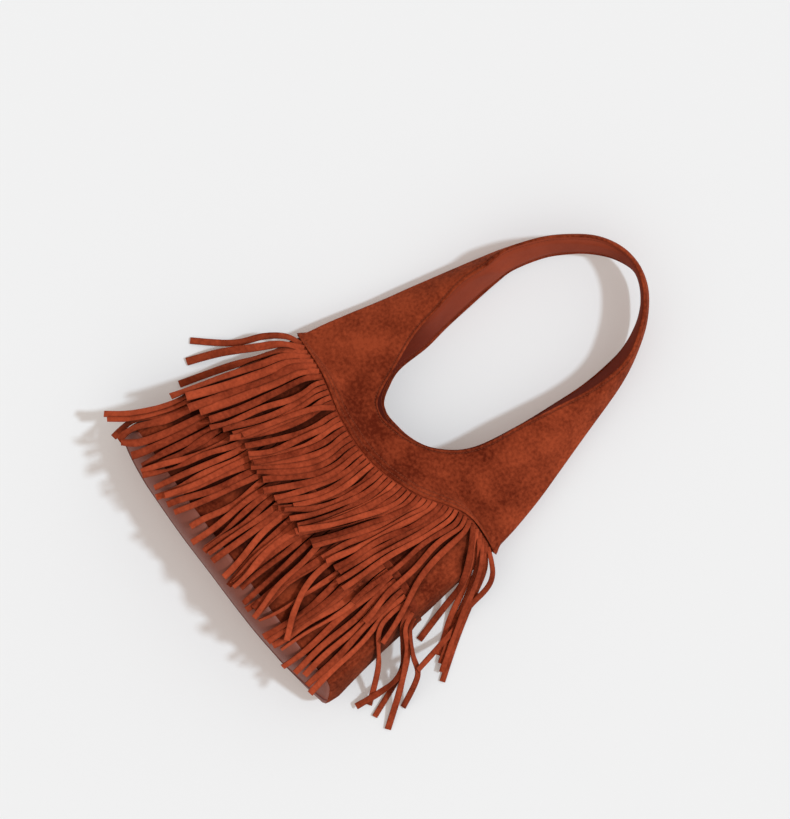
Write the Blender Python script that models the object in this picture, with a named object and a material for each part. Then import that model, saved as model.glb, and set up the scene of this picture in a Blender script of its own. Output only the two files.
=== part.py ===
"""A fringed suede shoulder bag, lying on its back as it comes to rest on a floor.

Lengths are in millimetres here and become metres in one place, where a mesh is made.
X runs across the bag, Y from its base up to the shoulder strap, and Z up from the floor.
The origin lies on the flat of the back, ORIGIN_UP above the base seam's zero line.
"""

import math
import random

import bpy
from mathutils import Vector
from mathutils.bvhtree import BVHTree
import numpy as np

METRE = 0.001
ORIGIN_UP = 100.0

# Thicknesses, and the clearance between two pieces that are sewn together
PANEL_THICK = 1.3
YOKE_THICK = 1.4
GUSSET_THICK = 1.3
BASE_THICK = 1.6
FACING_THICK = 1.0
STRAP_LINING_THICK = 1.2
LINING_THICK = 0.8
FRINGE_THICK = 1.2
SEAM_GAP = 0.3
STRIP_CLEARANCE = 0.45
TIER_CLEARANCE = 0.3
BUTT_GAP = 0.3
LINING_CLEARANCE = 2.5
LINING_TOP_SHARE = 0.75
LINING_FOOT = 7.0
LINING_FOOT_SHARE = 0.8

# Seams
YOKE_LAP = 9.0
LAP_FADE = 14.0
LAP_CLEARANCE = 1.0
BASE_SEAM_Y = 17.5
LOWER_HEADER_Y = 116.0
HEADER_TALL = 7.0
HEADER_BELOW_EDGE = 1.5
STRIP_INSET = 5.0

# Heights above the floor
CROWN_AT_BASE = 76.0
CROWN_AT_YOKE = 56.0
SIDE_AT_BASE = 58.0
SIDE_AT_FOLD = 24.0
GUSSET_BACK_HEIGHT = 7.0
RIM_HEIGHT = 43.0
ARCH_POWER = 2.6
BACK_POWER = 9.0
FOLD_ROUND = 2.0

# Side seams in plan, from the base up to where the outer fold starts
LEFT_SEAM = [(-162, 17.5), (-158, 70), (-150, 130), (-145, 175), (-144, 199)]
RIGHT_SEAM = [(147, 17.5), (146, 70), (144, 120), (144, 175), (145, 225)]
LEFT_BACK_SEAM = [(-171, 20), (-166, 70), (-156, 130), (-148, 175), (-144, 199)]
RIGHT_BACK_SEAM = [(163, 20), (158, 70), (154, 130), (149, 175), (145, 225)]
GUSSET_TIP = 0.955
GUSSET_BULGE = 3.0

# The end seams of the base, from the front corner round to the back corner
LEFT_END = [(-162, 17.5, 58), (-168, 13, 49), (-173, 3, 36), (-173, 1, 24), (-174, 9, 12), (-171, 20, 7)]
RIGHT_END = [(147, 17.5, 58), (153, 15, 50), (160, 8, 38), (165, 0, 25), (166, 6, 12), (163, 20, 7)]

# The base's section: how far it reaches past the seams, and its share of the height from back to front
BASE_PROFILE = [
    (0, 1),
    (10, 0.985),
    (19, 0.91),
    (25.5, 0.75),
    (27.5, 0.53),
    (26, 0.3),
    (21, 0.1),
    (12, 0.02),
    (0, 0),
]
BASE_REACH = [1.12, 1.17, 1.08, 1.02, 1.0, 1.0, 1.0]

# Stations round the mouth and the strap, from the left shoulder along the yoke's lower edge to the right
# shoulder, up the right side, over the top of the strap and down the left side. Each station has a point
# of the front rim, of the back rim with its height, and of the outer edge with its height.
STATIONS = [
    ((-45, 226), (-41, 231, 1.4), (-144, 199, 24)),
    ((-37, 221), (-33, 226.5, 1.4), (-97, 195.6, 0)),
    ((-28, 219), (-25, 225, 1.4), (-50, 184.5, 0)),
    ((-18, 220.5), (-15, 225.5, 1.4), (0, 183.3, 0)),
    ((0, 225), (1, 228, 1.4), (50, 199, 0)),
    ((17, 233), (17.5, 234.5, 1.4), (96, 225.7, 0)),
    ((31, 244.5), (31, 245, 1.4), (145, 225, 24)),
    ((45, 262), (45, 262, 1.4), (139, 257, 20)),
    ((54, 284), (54, 284, 1.4), (129.5, 295, 18)),
    ((59, 325), (59.5, 325, 1.5), (119, 329, 18)),
    ((66, 362), (61, 362, 1.7), (107.5, 370, 19)),
    ((73, 397), (61.2, 397, 2.5), (98, 402, 21)),
    ((75, 428), (59.7, 428, 4), (88, 430, 23)),
    ((70, 455), (56.5, 451, 6.5), (75.6, 456, 25)),
    ((54, 482), (47, 475, 9), (58, 484, 26)),
    ((36, 499), (34, 493, 11), (38, 503, 27)),
    ((18, 509), (18, 503.5, 12), (19, 513, 27)),
    ((-2, 513.5), (2, 505.5, 13), (-2, 516.5, 27)),
    ((-22, 511), (-18, 497, 13.5), (-24, 513, 27)),
    ((-44, 499.5), (-36, 482, 14), (-46, 501, 27)),
    ((-62.5, 477), (-50, 465, 14), (-64.5, 479, 26)),
    ((-77, 453), (-61, 444, 14), (-79, 454, 25)),
    ((-89, 418), (-69, 413, 11), (-91.5, 418, 23)),
    ((-88.5, 391), (-69, 391, 7), (-99, 391, 21)),
    ((-90.5, 361), (-66, 363, 4), (-107, 361, 19)),
    ((-82, 323), (-63, 325, 2.5), (-116, 322, 18)),
    ((-76, 293), (-59, 297, 2), (-123, 290, 18)),
    ((-62, 259), (-57.5, 262, 1.5), (-132, 255, 20)),
    ((-52.5, 238), (-49, 243, 1.4), (-139, 226, 22)),
]
RIGHT_SHOULDER = 6
STRAP_STARTS = 9
STRAP_ENDS = 25
STEPS_PER_STATION = 3
SHOULDER_STEPS = 2

# The fringe
STRANDS = 46
STRAND_SHARE = 0.86
UPPER_LENGTH = 112.0
LOWER_LENGTH = 118.0
LENGTH_SPREAD = 7.0
FAN_PER_MM = 0.23
FAN_MIDDLE = -5.0
FAN_SPREAD = 1.3
SWAY = 3.0
SWAY_LENGTH = 61.0
STRAND_STEPS = 6
STEEPEST_HANG = 1.5
LAY_ROUNDS = 25
MOST_TWIST = 1.5
ROOT_SHARE = 0.5
SIDE_OVERLAP = 0.25
SETTLE_ROUNDS = 4
SETTLE_SHARE = 0.15
FRINGE_SEED = 11

# Strands that the photograph shows straying, as the points they pass through after the seam, keyed by
# their place along the strip
UPPER_STRAYS = {
    0: [(-170, 169), (-180, 139), (-209, 109)],
    1: [(-151, 174), (-183, 122), (-195, 92)],
    3: [(-150, 160), (-172, 123), (-182, 74)],
    42: [(128, 200), (150, 150), (196, 92)],
    43: [(138, 205), (160, 165), (208, 98)],
    44: [(146, 200), (168, 155), (220, 106)],
    45: [(160, 211), (172, 197), (176, 174), (170, 113)],
}
LOWER_STRAYS = {
    0: [(-154, 84), (-173, 36), (-197, 2)],
    1: [(-150, 78), (-168, 34), (-190, -2)],
    3: [(-150, 60), (-160, 25), (-176, -8)],
    42: [(134, 87), (169, 63), (196, 31)],
    43: [(150, 96), (180, 60), (226, 31)],
    44: [(165, 91), (189, 69), (207, 27)],
    45: [(165, 100), (191, 96), (218, 56)],
}

# The map of heights that the fringe is laid on
MAP_STEP = 1.0
MAP_LEFT, MAP_RIGHT = -240.0, 250.0
MAP_BOTTOM, MAP_TOP = -45.0, 260.0
ABOVE_ALL = 200.0

ALL_EDGES = ("start", "end", "low", "high")
GUSSET_EDGES = ("start", "low", "high")
SUEDE = ("suede", (0.21, 0.034, 0.012), 0.9)
SUEDE_DARK = ("suede_fringe", (0.19, 0.03, 0.011), 0.9)
LEATHER = ("base_leather", (0.27, 0.11, 0.085), 0.45)
SMOOTH = ("smooth_leather", (0.22, 0.052, 0.03), 0.42)
CLOTH = ("lining_cloth", (0.12, 0.05, 0.035), 0.95)


def clear_scene():
    for thing in list(bpy.data.objects):
        bpy.data.objects.remove(thing)


def make_material(finish):
    name, colour, roughness = finish
    found = bpy.data.materials.get(name)
    if found:
        return found
    material = bpy.data.materials.new(name)
    material.use_nodes = True
    shader = material.node_tree.nodes["Principled BSDF"]
    shader.inputs["Base Color"].default_value = (*colour, 1.0)
    shader.inputs["Roughness"].default_value = roughness
    shader.inputs["Metallic"].default_value = 0.0
    return material


def make_piece(name, points, faces, finish):
    """A mesh object from points in millimetres, moved so that the origin is on the back."""
    mesh = bpy.data.meshes.new(name)
    placed = (np.asarray(points) - (0, ORIGIN_UP, 0)) * METRE
    mesh.from_pydata(placed.tolist(), [], faces)
    mesh.materials.append(make_material(finish))
    piece = bpy.data.objects.new(name, mesh)
    bpy.context.scene.collection.objects.link(piece)
    return piece


def hermite(a, b, slope_a, slope_b, t):
    return (
        a * (2 * t**3 - 3 * t**2 + 1)
        + slope_a * (t**3 - 2 * t**2 + t)
        + b * (3 * t**2 - 2 * t**3)
        + slope_b * (t**3 - t**2)
    )


def smooth_run(points, steps, closed=False, corners=()):
    """A smooth curve through the points, with this many steps from each to the next."""
    points = np.asarray(points, float)
    count = len(points)
    gaps = count if closed else count - 1
    steps = [steps] * gaps if isinstance(steps, int) else steps
    run = []
    for i in range(gaps):
        a, b = points[i], points[(i + 1) % count]
        before = points[i - 1] if closed or i else a
        after = points[(i + 2) % count] if closed or i + 2 < count else b
        slope_a = b - a if i in corners else (b - before) / 2
        slope_b = b - a if (i + 1) % count in corners else (after - a) / 2
        for k in range(steps[i]):
            run.append(hermite(a, b, slope_a, slope_b, k / steps[i]))
    if not closed:
        run.append(points[-1])
    return np.array(run)


def resample(run, count):
    """The same curve at this many points, evenly spaced along it."""
    lengths = np.linalg.norm(np.diff(run, axis=0), axis=1)
    along = np.concatenate([[0], np.cumsum(lengths)])
    wanted = np.linspace(0, along[-1], count)
    return np.column_stack([np.interp(wanted, along, run[:, k]) for k in range(run.shape[1])])


def ease(value):
    value = np.clip(value, 0, 1)
    return value * value * (3 - 2 * value)


def grid_normals(grid, wrap=False):
    """Unit normals of a grid of points, facing to the side from which rows and columns run clockwise."""
    if wrap:
        along = np.roll(grid, -1, axis=0) - np.roll(grid, 1, axis=0)
    else:
        along = np.gradient(grid, axis=0)
    normals = np.cross(along, np.gradient(grid, axis=1))
    return normals / np.maximum(np.linalg.norm(normals, axis=2, keepdims=True), 1e-9)


def unit(vectors):
    return vectors / np.maximum(np.linalg.norm(vectors, axis=-1, keepdims=True), 1e-9)


def solid_faces(columns, rows, wrap, turned):
    """Triangles of a slab whose first half of points is the outer skin and second half the inner one.

    Every cell is cut along the same diagonal, so that sheets laid on one another stay clear of each other.
    """
    skin = columns * rows
    faces = []
    for i in range(columns if wrap else columns - 1):
        j = (i + 1) % columns
        for k in range(rows - 1):
            a, b, c, d = i * rows + k, j * rows + k, j * rows + k + 1, i * rows + k + 1
            faces.extend([(a, b, c), (a, c, d)])
            faces.extend([(c + skin, b + skin, a + skin), (d + skin, c + skin, a + skin)])
        first, last = i * rows, i * rows + rows - 1
        next_first, next_last = j * rows, j * rows + rows - 1
        faces.append((first, first + skin, next_first + skin, next_first))
        faces.append((next_last, next_last + skin, last + skin, last))
    if not wrap:
        for k in range(rows - 1):
            a, b = k, k + 1
            faces.append((b, b + skin, a + skin, a))
            a, b = (columns - 1) * rows + k, (columns - 1) * rows + k + 1
            faces.append((a, a + skin, b + skin, b))
    if turned:
        faces = [face[::-1] for face in faces]
    return faces


def slab(name, grid, normals, inside, outside, finish, wrap=False, turned=False, flat_below=None):
    """A closed sheet between two offsets of a grid along its normals."""
    columns, rows = grid.shape[:2]
    inside = np.broadcast_to(inside, (columns, rows))[..., None]
    outside = np.broadcast_to(outside, (columns, rows))[..., None]
    skins = [grid + normals * outside, grid + normals * inside]
    if flat_below is not None:
        skins[0][..., 2] = np.maximum(skins[0][..., 2], flat_below)
    points = np.concatenate([skin.reshape(-1, 3) for skin in skins])
    return make_piece(name, points, solid_faces(columns, rows, wrap, turned), finish)


def pulled(grid, sides, gap=BUTT_GAP):
    """The grid with the named edge rows or columns drawn back along the sheet by the gap."""
    grid = grid.copy()
    cuts = {
        "start": ((0,), (1,)),
        "end": ((-1,), (-2,)),
        "low": ((slice(None), 0), (slice(None), 1)),
        "high": ((slice(None), -1), (slice(None), -2)),
    }
    for side in sides:
        edge, inner = cuts[side]
        grid[edge] = grid[edge] + unit(grid[inner] - grid[edge]) * gap
    return grid


def ring_curves():
    """The front rim, the back rim and the outer edge, sampled together from station to station."""
    count = len(STATIONS)
    steps = [STEPS_PER_STATION if i < RIGHT_SHOULDER else SHOULDER_STEPS for i in range(count)]
    front = smooth_run([(*station[0], RIM_HEIGHT) for station in STATIONS], steps, closed=True)
    back = smooth_run([station[1] for station in STATIONS], steps, closed=True)
    outer = smooth_run([station[2] for station in STATIONS], steps, closed=True, corners=(0, RIGHT_SHOULDER))
    return front, back, outer, steps


def arch(share):
    """How far up from the side seams to the crown the front lies, at this share of the way across."""
    return 1 - np.abs(2 * share - 1) ** ARCH_POWER


def side_curves(rows):
    """The four side seams from the base to the shoulder, as points in space."""
    share = np.linspace(0, 1, rows)
    curves = {}
    for name, plan in (("left", LEFT_SEAM), ("right", RIGHT_SEAM)):
        run = resample(smooth_run(plan, 4), rows)
        height = SIDE_AT_BASE + (SIDE_AT_FOLD - SIDE_AT_BASE) * share**1.25
        curves[name] = np.column_stack([run, height])
    for name, plan in (("left_back", LEFT_BACK_SEAM), ("right_back", RIGHT_BACK_SEAM)):
        run = resample(smooth_run(plan, 4), rows)
        height = GUSSET_BACK_HEIGHT + (SIDE_AT_FOLD - GUSSET_BACK_HEIGHT) * share**3.5
        curves[name] = np.column_stack([run, height])
    return curves


def between_seams(left, right, top, level):
    """Plan points from the base seam up to the yoke's edge, at the side seams on both sides."""
    columns, rows = len(top), len(left)
    across = np.linspace(0, 1, columns)[:, None]
    up = np.linspace(0, 1, rows)[None, :]
    base = left[0, :2] * (1 - across) + right[0, :2] * across
    straight = base[:, None, :] * (1 - up[..., None]) + top[:, None, :2] * up[..., None]
    lean_left = left[None, :, :2] - straight[:1]
    lean_right = right[None, :, :2] - straight[-1:]
    plan = straight + lean_left * (1 - across[..., None]) ** 2 + lean_right * across[..., None] ** 2
    sides = left[None, :, 2] * (1 - across) + right[None, :, 2] * across
    return np.dstack([plan, level(across, up, sides)])


def front_level(across, up, sides):
    crown = CROWN_AT_BASE + (CROWN_AT_YOKE - CROWN_AT_BASE) * up**1.6
    return sides + (crown - sides) * arch(across)


def back_level(across, up, sides):
    low = PANEL_THICK + (YOKE_THICK + SEAM_GAP) * ease((up - 0.86) / 0.1)
    return low + (sides - low) * np.abs(2 * across - 1) ** BACK_POWER


def ring_rows(inner, outer, power, lap_rows):
    """Points from the rim to the outer edge, the height falling faster towards the fold."""
    length = np.linalg.norm(outer - inner, axis=1)
    lap = 1 - np.minimum(YOKE_LAP / length, 0.4)
    fade = 1 - np.minimum((YOKE_LAP + LAP_FADE) / length, 0.7)
    shares = np.column_stack([0 * lap, fade * 0.3, fade * 0.65, fade, lap, 1 + 0 * lap])[:, lap_rows]
    plan = inner[:, None, :2] + (outer - inner)[:, None, :2] * shares[..., None]
    fall = shares ** power[:, None]
    height = inner[:, None, 2] + (outer - inner)[:, None, 2] * fall
    return np.dstack([plan, height]), shares


def shoulder_weight(steps):
    """Nought along the yoke's lower edge and one along the fold, for each sample of the ring."""
    low = sum(steps[:RIGHT_SHOULDER])
    weight = np.ones(sum(steps))
    weight[1:low] = 0
    return weight, low


def build_shell():
    """The surface that every panel lies on, as grids that share their edges."""
    front_rim, back_rim, outer, steps = ring_curves()
    weight, low = shoulder_weight(steps)
    rows = 9
    seams = side_curves(rows)
    top = outer[: low + 1]
    front = between_seams(seams["left"], seams["right"], top, front_level)
    back = between_seams(seams["left_back"], seams["right_back"], top, back_level)
    front_outer = outer.copy()
    front_outer[: low + 1] = front[:, -1]
    back_outer = outer.copy()
    back_outer[: low + 1] = back[:, -1]
    power = 1 + (FOLD_ROUND - 1) * weight
    every_row = slice(None)
    front_ring, shares = ring_rows(front_rim, front_outer, power, every_row)
    back_ring, _ = ring_rows(back_rim, back_outer, power + weight, every_row)
    back_ring[..., 2] = np.maximum(back_ring[..., 2], YOKE_THICK)
    return front, back, front_ring, back_ring, seams, low


def gusset_grid(seams, side, rows=9, across=len(BASE_PROFILE) - 1):
    """A side panel between its two seams, its lower end on the base's end seam."""
    end = resample(smooth_run(LEFT_END if side == "left" else RIGHT_END, 4), across + 1)
    front, back = seams[side], seams[side + "_back"]
    share = np.linspace(0, 1, across + 1)[None, :, None]
    grid = front[:, None, :] * (1 - share) + back[:, None, :] * share
    outward = -1 if side == "left" else 1
    up = np.linspace(0, 1, rows)[:, None]
    grid[..., 0] += outward * GUSSET_BULGE * np.sin(math.pi * share[..., 0]) * (1 - up)
    foot = end[None] - grid[:1]
    grid = grid + foot * (1 - up[..., None]) ** 4
    cut = int(round((rows - 1) * GUSSET_TIP))
    tip = grid[cut - 1] + (grid[cut] - grid[cut - 1]) * 0.6
    return np.concatenate([grid[:cut], tip[None]])


def base_grid(front, back):
    """The base, from the front seam round the bottom to the back seam."""
    turns = len(BASE_PROFILE)
    columns = len(front)
    profile = np.array(BASE_PROFILE, float)
    reach = np.interp(np.linspace(0, 1, columns), np.linspace(0, 1, len(BASE_REACH)), BASE_REACH)
    front_edge, back_edge = front[:, 0], back[:, 0]
    down = np.linspace(0, 1, turns)[None, :, None]
    grid = front_edge[:, None, :] * (1 - down) + back_edge[:, None, :] * down
    grid[..., 1] -= reach[:, None] * profile[None, :, 0]
    grid[..., 2] = back_edge[:, None, 2] + (front_edge - back_edge)[:, None, 2] * profile[None, :, 1]
    across = np.linspace(0, 1, columns)[:, None, None]
    left = resample(smooth_run(LEFT_END, 4), turns)
    right = resample(smooth_run(RIGHT_END, 4), turns)
    return grid + (left - grid[0]) * (1 - across) ** 5 + (right - grid[-1]) * across**5


def shared_normals(patches):
    """Outward normals of grids that share edges, averaged where points coincide, so that offsets meet."""
    total = {}
    keys = []
    for grid, flip, wrap in patches:
        normals = grid_normals(grid, wrap) * flip
        key = np.round(grid.reshape(-1, 3), 2)
        for where, normal in zip(map(tuple, key), normals.reshape(-1, 3)):
            total[where] = total.get(where, 0) + normal
        keys.append(key)
    found = []
    for (grid, _, _), key in zip(patches, keys):
        normals = np.array([total[where] for where in map(tuple, key)])
        found.append(unit(normals).reshape(grid.shape))
    return found


def strap_lining_grid(front_ring, back_ring, first, last, across=3):
    """The inner face of the strap, from the front rim to the back rim."""
    share = np.linspace(0, 1, across + 1)[None, :, None]
    span = slice(first, last + 1)
    return front_ring[span, 0][:, None] * (1 - share) + back_ring[span, 0][:, None] * share


def make_body():
    """Every panel but the fringe, and what the fringe lies on."""
    front, back, front_ring, back_ring, seams, low = build_shell()
    left_gusset, right_gusset = gusset_grid(seams, "left"), gusset_grid(seams, "right")
    base = base_grid(front, back)
    low_steps = RIGHT_SHOULDER * STEPS_PER_STATION
    first = low_steps + (STRAP_STARTS - RIGHT_SHOULDER) * SHOULDER_STEPS
    last = low_steps + (STRAP_ENDS - RIGHT_SHOULDER) * SHOULDER_STEPS
    strap = strap_lining_grid(front_ring, back_ring, first, last)
    patches = [
        (front, 1, False),
        (back, -1, False),
        (front_ring, -1, True),
        (back_ring, 1, True),
        (left_gusset, 1, False),
        (right_gusset, -1, False),
        (base, -1, False),
        (strap, 1, False),
    ]
    n_front, n_back, n_ring, n_back_ring, n_left, n_right, n_base, n_strap = shared_normals(patches)
    lap_front = front_ring[: low + 1, 4]
    lap_back = back_ring[: low + 1, 4]
    tall_front = np.concatenate([front, lap_front[:, None]], axis=1)
    tall_back = np.concatenate([back, lap_back[:, None]], axis=1)
    tall_n_front = np.concatenate([n_front, n_ring[: low + 1, 4][:, None]], axis=1)
    tall_n_back = np.concatenate([n_back, n_back_ring[: low + 1, 4][:, None]], axis=1)

    front_sheet = pulled(pulled(tall_front, ALL_EDGES), ("high",), LAP_CLEARANCE)
    panel = slab("lower_front_panel", front_sheet, tall_n_front, 0, PANEL_THICK, SUEDE)
    back_sheet = pulled(pulled(tall_back, ALL_EDGES), ("high",), LAP_CLEARANCE)
    slab("lower_back_panel", back_sheet, tall_n_back, 0, PANEL_THICK, SUEDE, turned=True, flat_below=0)
    left_sheet = pulled(left_gusset, GUSSET_EDGES)
    left = slab("left_gusset", left_sheet, n_left, 0, GUSSET_THICK, SUEDE)
    right_sheet = pulled(right_gusset, GUSSET_EDGES)
    right = slab("right_gusset", right_sheet, n_right, 0, GUSSET_THICK, SUEDE, turned=True)
    base_sheet = pulled(base, ALL_EDGES)
    bottom = slab("base_panel", base_sheet, n_base, 0, BASE_THICK, LEATHER, turned=True, flat_below=0)
    make_yokes(front_ring, back_ring, n_ring, n_back_ring, low)
    make_facings(front_ring, back_ring, n_ring, n_back_ring, first, last)
    slab("strap_lining", pulled(strap, ("low", "high")), n_strap, 0, STRAP_LINING_THICK, SMOOTH)
    make_lining(front, back)
    return [panel, left, right, bottom], tall_front


def lap_offsets(columns, low, under):
    """How far the yoke stands off its surface: over what is sewn under its lower edge, and nothing above."""
    lift = np.zeros((columns, 6))
    weight = np.zeros(columns)
    weight[: low + 1] = 1
    lift[:, 5] = lift[:, 4] = under * weight
    return lift


def make_yokes(front_ring, back_ring, n_front, n_back, low):
    columns = len(front_ring)
    under_front = PANEL_THICK + FRINGE_THICK + 2 * SEAM_GAP
    under_back = PANEL_THICK + SEAM_GAP
    for name, grid, normals, under, turned in (
        ("front_yoke", front_ring, n_front, under_front, True),
        ("back_yoke", back_ring, n_back, under_back, False),
    ):
        lift = lap_offsets(columns, low, under)
        grid = pulled(grid, ("low",))
        fold = pulled(grid, ("high",))
        grid[low:, -1] = fold[low:, -1]
        grid[0, -1] = fold[0, -1]
        floor = 0 if name == "back_yoke" else None
        slab(name, grid, normals, lift, lift + YOKE_THICK, SUEDE, wrap=True, turned=turned, flat_below=floor)


def make_facings(front_ring, back_ring, n_front, n_back, first, last):
    """The leather inside the mouth, from one end of the strap's lining round the mouth to the other."""
    columns = len(front_ring)
    order = [i % columns for i in range(last, columns + first + 1)]
    for name, ring, normals, turned in (
        ("front_facing", front_ring, n_front, True),
        ("back_facing", back_ring, n_back, False),
    ):
        grid = pulled(ring[order][:, :5], ALL_EDGES)
        inside = -SEAM_GAP - FACING_THICK
        slab(name, grid, normals[order][:, :5], inside, -SEAM_GAP, SMOOTH, turned=turned)


def make_lining(front, back):
    """A thin pouch that hangs inside the panels, open at its top."""
    inset = slice(1, -1)
    upper = front[inset].copy()
    lower = back[inset].copy()
    for grid in (upper, lower):
        grid[:, -1] = grid[:, -2] + (grid[:, -1] - grid[:, -2]) * LINING_TOP_SHARE
    upper[..., 2] -= LINING_CLEARANCE
    lower[..., 2] += LINING_CLEARANCE
    loops = np.concatenate([upper, lower[::-1]])
    foot = loops[:, :1].copy()
    foot[..., 1] = BASE_SEAM_Y - LINING_FOOT
    middle = loops[:, :1, 2].mean()
    foot[..., 2] = middle + (foot[..., 2] - middle) * LINING_FOOT_SHARE
    outer = np.concatenate([foot, loops], axis=1)
    inward = np.cross(np.roll(outer, -1, axis=0) - np.roll(outer, 1, axis=0), (0, 1, 0))
    inner = outer + unit(inward) * LINING_THICK
    inner[:, 0, 1] += LINING_THICK
    columns, rows = outer.shape[:2]
    points = np.concatenate([outer.reshape(-1, 3), inner.reshape(-1, 3)])
    skin = columns * rows
    faces = []
    for i in range(columns):
        j = (i + 1) % columns
        for k in range(rows - 1):
            a, b, c, d = i * rows + k, j * rows + k, j * rows + k + 1, i * rows + k + 1
            faces.append((d, c, b, a))
            faces.append((a + skin, b + skin, c + skin, d + skin))
        last, next_last = i * rows + rows - 1, j * rows + rows - 1
        faces.append((last, last + skin, next_last + skin, next_last))
    half = columns // 2
    for i in range(half - 1):
        a, b, c, d = i, i + 1, columns - 2 - i, columns - 1 - i
        faces.append((a * rows, b * rows, c * rows, d * rows))
        faces.append((d * rows + skin, c * rows + skin, b * rows + skin, a * rows + skin))
    make_piece("lining", points, faces, CLOTH)


class HeightMap:
    """The top of everything laid so far, seen from above.

    The tier that is being laid is kept apart, because its strands lie edge to edge, and what is below them
    is spread by two cells, so that a strand clears it between the cells and on steep sides too.
    """

    def __init__(self, pieces):
        self.trees = []
        for piece in pieces:
            mesh = piece.data
            corners = [Vector(v.co) / METRE + Vector((0, ORIGIN_UP, 0)) for v in mesh.vertices]
            self.trees.append(BVHTree.FromPolygons(corners, [list(p.vertices) for p in mesh.polygons]))
        self.x = np.arange(MAP_LEFT, MAP_RIGHT, MAP_STEP)
        self.y = np.arange(MAP_BOTTOM, MAP_TOP, MAP_STEP)
        self.z = np.array([[self.top(x, y) for y in self.y] for x in self.x])
        self.below = self.z
        self.tier = np.zeros_like(self.z)
        self.laid = np.zeros_like(self.z)

    def top(self, x, y):
        """The height of the highest piece at this place, or of the floor."""
        down = Vector((0, 0, -1))
        hits = [tree.ray_cast(Vector((x, y, ABOVE_ALL)), down)[0] for tree in self.trees]
        return max([hit.z for hit in hits if hit] + [0.0])

    def resting(self, x, y):
        """The height at which a strip clears the surface here, which takes more on a slope."""
        here = self.top(x, y)
        rises = [self.top(x + a, y + b) - here for a, b in ((-1, 0), (1, 0), (0, -1), (0, 1))]
        slope = max(0.0, *rises)
        return here + STRIP_CLEARANCE * math.hypot(1, slope) + slope * STRIP_CLEARANCE

    def start_tier(self):
        spread = self.z.copy()
        for axis in (0, 1, 0, 1):
            spread = np.maximum(spread, np.maximum(np.roll(spread, 1, axis), np.roll(spread, -1, axis)))
        self.below = spread + TIER_CLEARANCE
        self.tier = np.zeros_like(self.z)
        self.laid = np.zeros_like(self.z)

    def end_tier(self, strip_low, strip_high):
        """Takes the tier's strands and the strip that carries them into what the next tier lies on."""
        for k in range(len(strip_low) - 1):
            corners = np.array([strip_low[k], strip_high[k], strip_low[k + 1], strip_high[k + 1]])
            i, j, _, _ = self.under(corners, MAP_STEP)
            np.maximum.at(self.laid, (i, j), corners[:, 2].max())
        self.z = np.maximum(self.z, self.laid)

    def under(self, corners, margin=0.3):
        """The cells below a four-sided stretch of strand, with each cell's place along and across it."""
        low = np.floor((corners[:, :2].min(0) - (MAP_LEFT, MAP_BOTTOM)) / MAP_STEP).astype(int) - 1
        high = np.ceil((corners[:, :2].max(0) - (MAP_LEFT, MAP_BOTTOM)) / MAP_STEP).astype(int) + 2
        i, j = np.meshgrid(np.arange(low[0], high[0]), np.arange(low[1], high[1]), indexing="ij")
        i = np.clip(i.ravel(), 0, len(self.x) - 1)
        j = np.clip(j.ravel(), 0, len(self.y) - 1)
        spots = np.column_stack([self.x[i], self.y[j]])
        start = (corners[0] + corners[1])[:2] / 2
        finish = (corners[2] + corners[3])[:2] / 2
        run = finish - start
        length = max(np.hypot(*run), 1e-6)
        run = run / length
        side = np.array([-run[1], run[0]])
        wide = np.abs((corners[0] - corners[1])[:2] @ side)
        along = (spots - start) @ run / length
        across = (spots - start) @ side / wide + 0.5
        long_margin, wide_margin = margin / length, margin / wide
        near = (along > -long_margin) & (along < 1 + long_margin)
        near &= (across > -wide_margin) & (across < 1 + wide_margin)
        return i[near], j[near], np.clip(along[near], 0, 1), np.clip(across[near], 0, 1)

    def lay(self, left, right, root_height):
        """Heights for the two edges of a strand, so that it rests on what lies below, and marks it laid."""
        count = len(left)
        stretches = []
        for k in range(count - 1):
            corners = np.array([left[k], right[k], left[k + 1], right[k + 1]])
            i, j, along, across = self.under(corners)
            crossed = (across > SIDE_OVERLAP) & (across < 1 - SIDE_OVERLAP) & (k > 0)
            need = np.maximum(self.below[i, j], self.tier[i, j] * crossed) + SEAM_GAP
            weights = np.stack(
                [(1 - along) * across, (1 - along) * (1 - across), along * across, along * (1 - across)]
            )
            stretches.append((i, j, need, weights))
        height = self.first_heights(left, right)
        height[0] = root_height
        step = np.linalg.norm(np.diff((left + right) / 2, axis=0), axis=1)
        for k in range(count - 2, 0, -1):
            height[k] = np.maximum(height[k], height[k + 1] - STEEPEST_HANG * step[k])
        for k in range(1, count):
            height[k] = np.maximum(height[k], height[k - 1] - STEEPEST_HANG * step[k - 1])
        for _ in range(LAY_ROUNDS):
            for k in range(count - 1):
                self.raise_stretch(height, k, stretches[k], spread=True)
            height[1:] = np.maximum(height[1:], height[1:].max(axis=1, keepdims=True) - MOST_TWIST)
        for _ in range(SETTLE_ROUNDS):
            for k in range(1, count):
                self.settle(height, k, stretches, step)
        for k in range(count - 1):
            self.raise_stretch(height, k, stretches[k], spread=False)
        for k, (i, j, _, weights) in enumerate(stretches):
            corners = height[k : k + 2].ravel()
            np.maximum.at(self.tier, (i, j), corners @ weights + warp(corners) + FRINGE_THICK)
            i, j, _, _ = self.under(np.array([left[k], right[k], left[k + 1], right[k + 1]]), MAP_STEP)
            np.maximum.at(self.laid, (i, j), corners.max() + FRINGE_THICK)
        return height

    def first_heights(self, left, right):
        """Each edge point on what is straight below it."""
        count = len(left)
        height = np.zeros((count, 2))
        for k in range(count):
            for side, edge in enumerate((left, right)):
                i, j = spot(*edge[k])
                height[k, side] = self.below[i, j] + SEAM_GAP
        return height

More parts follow.
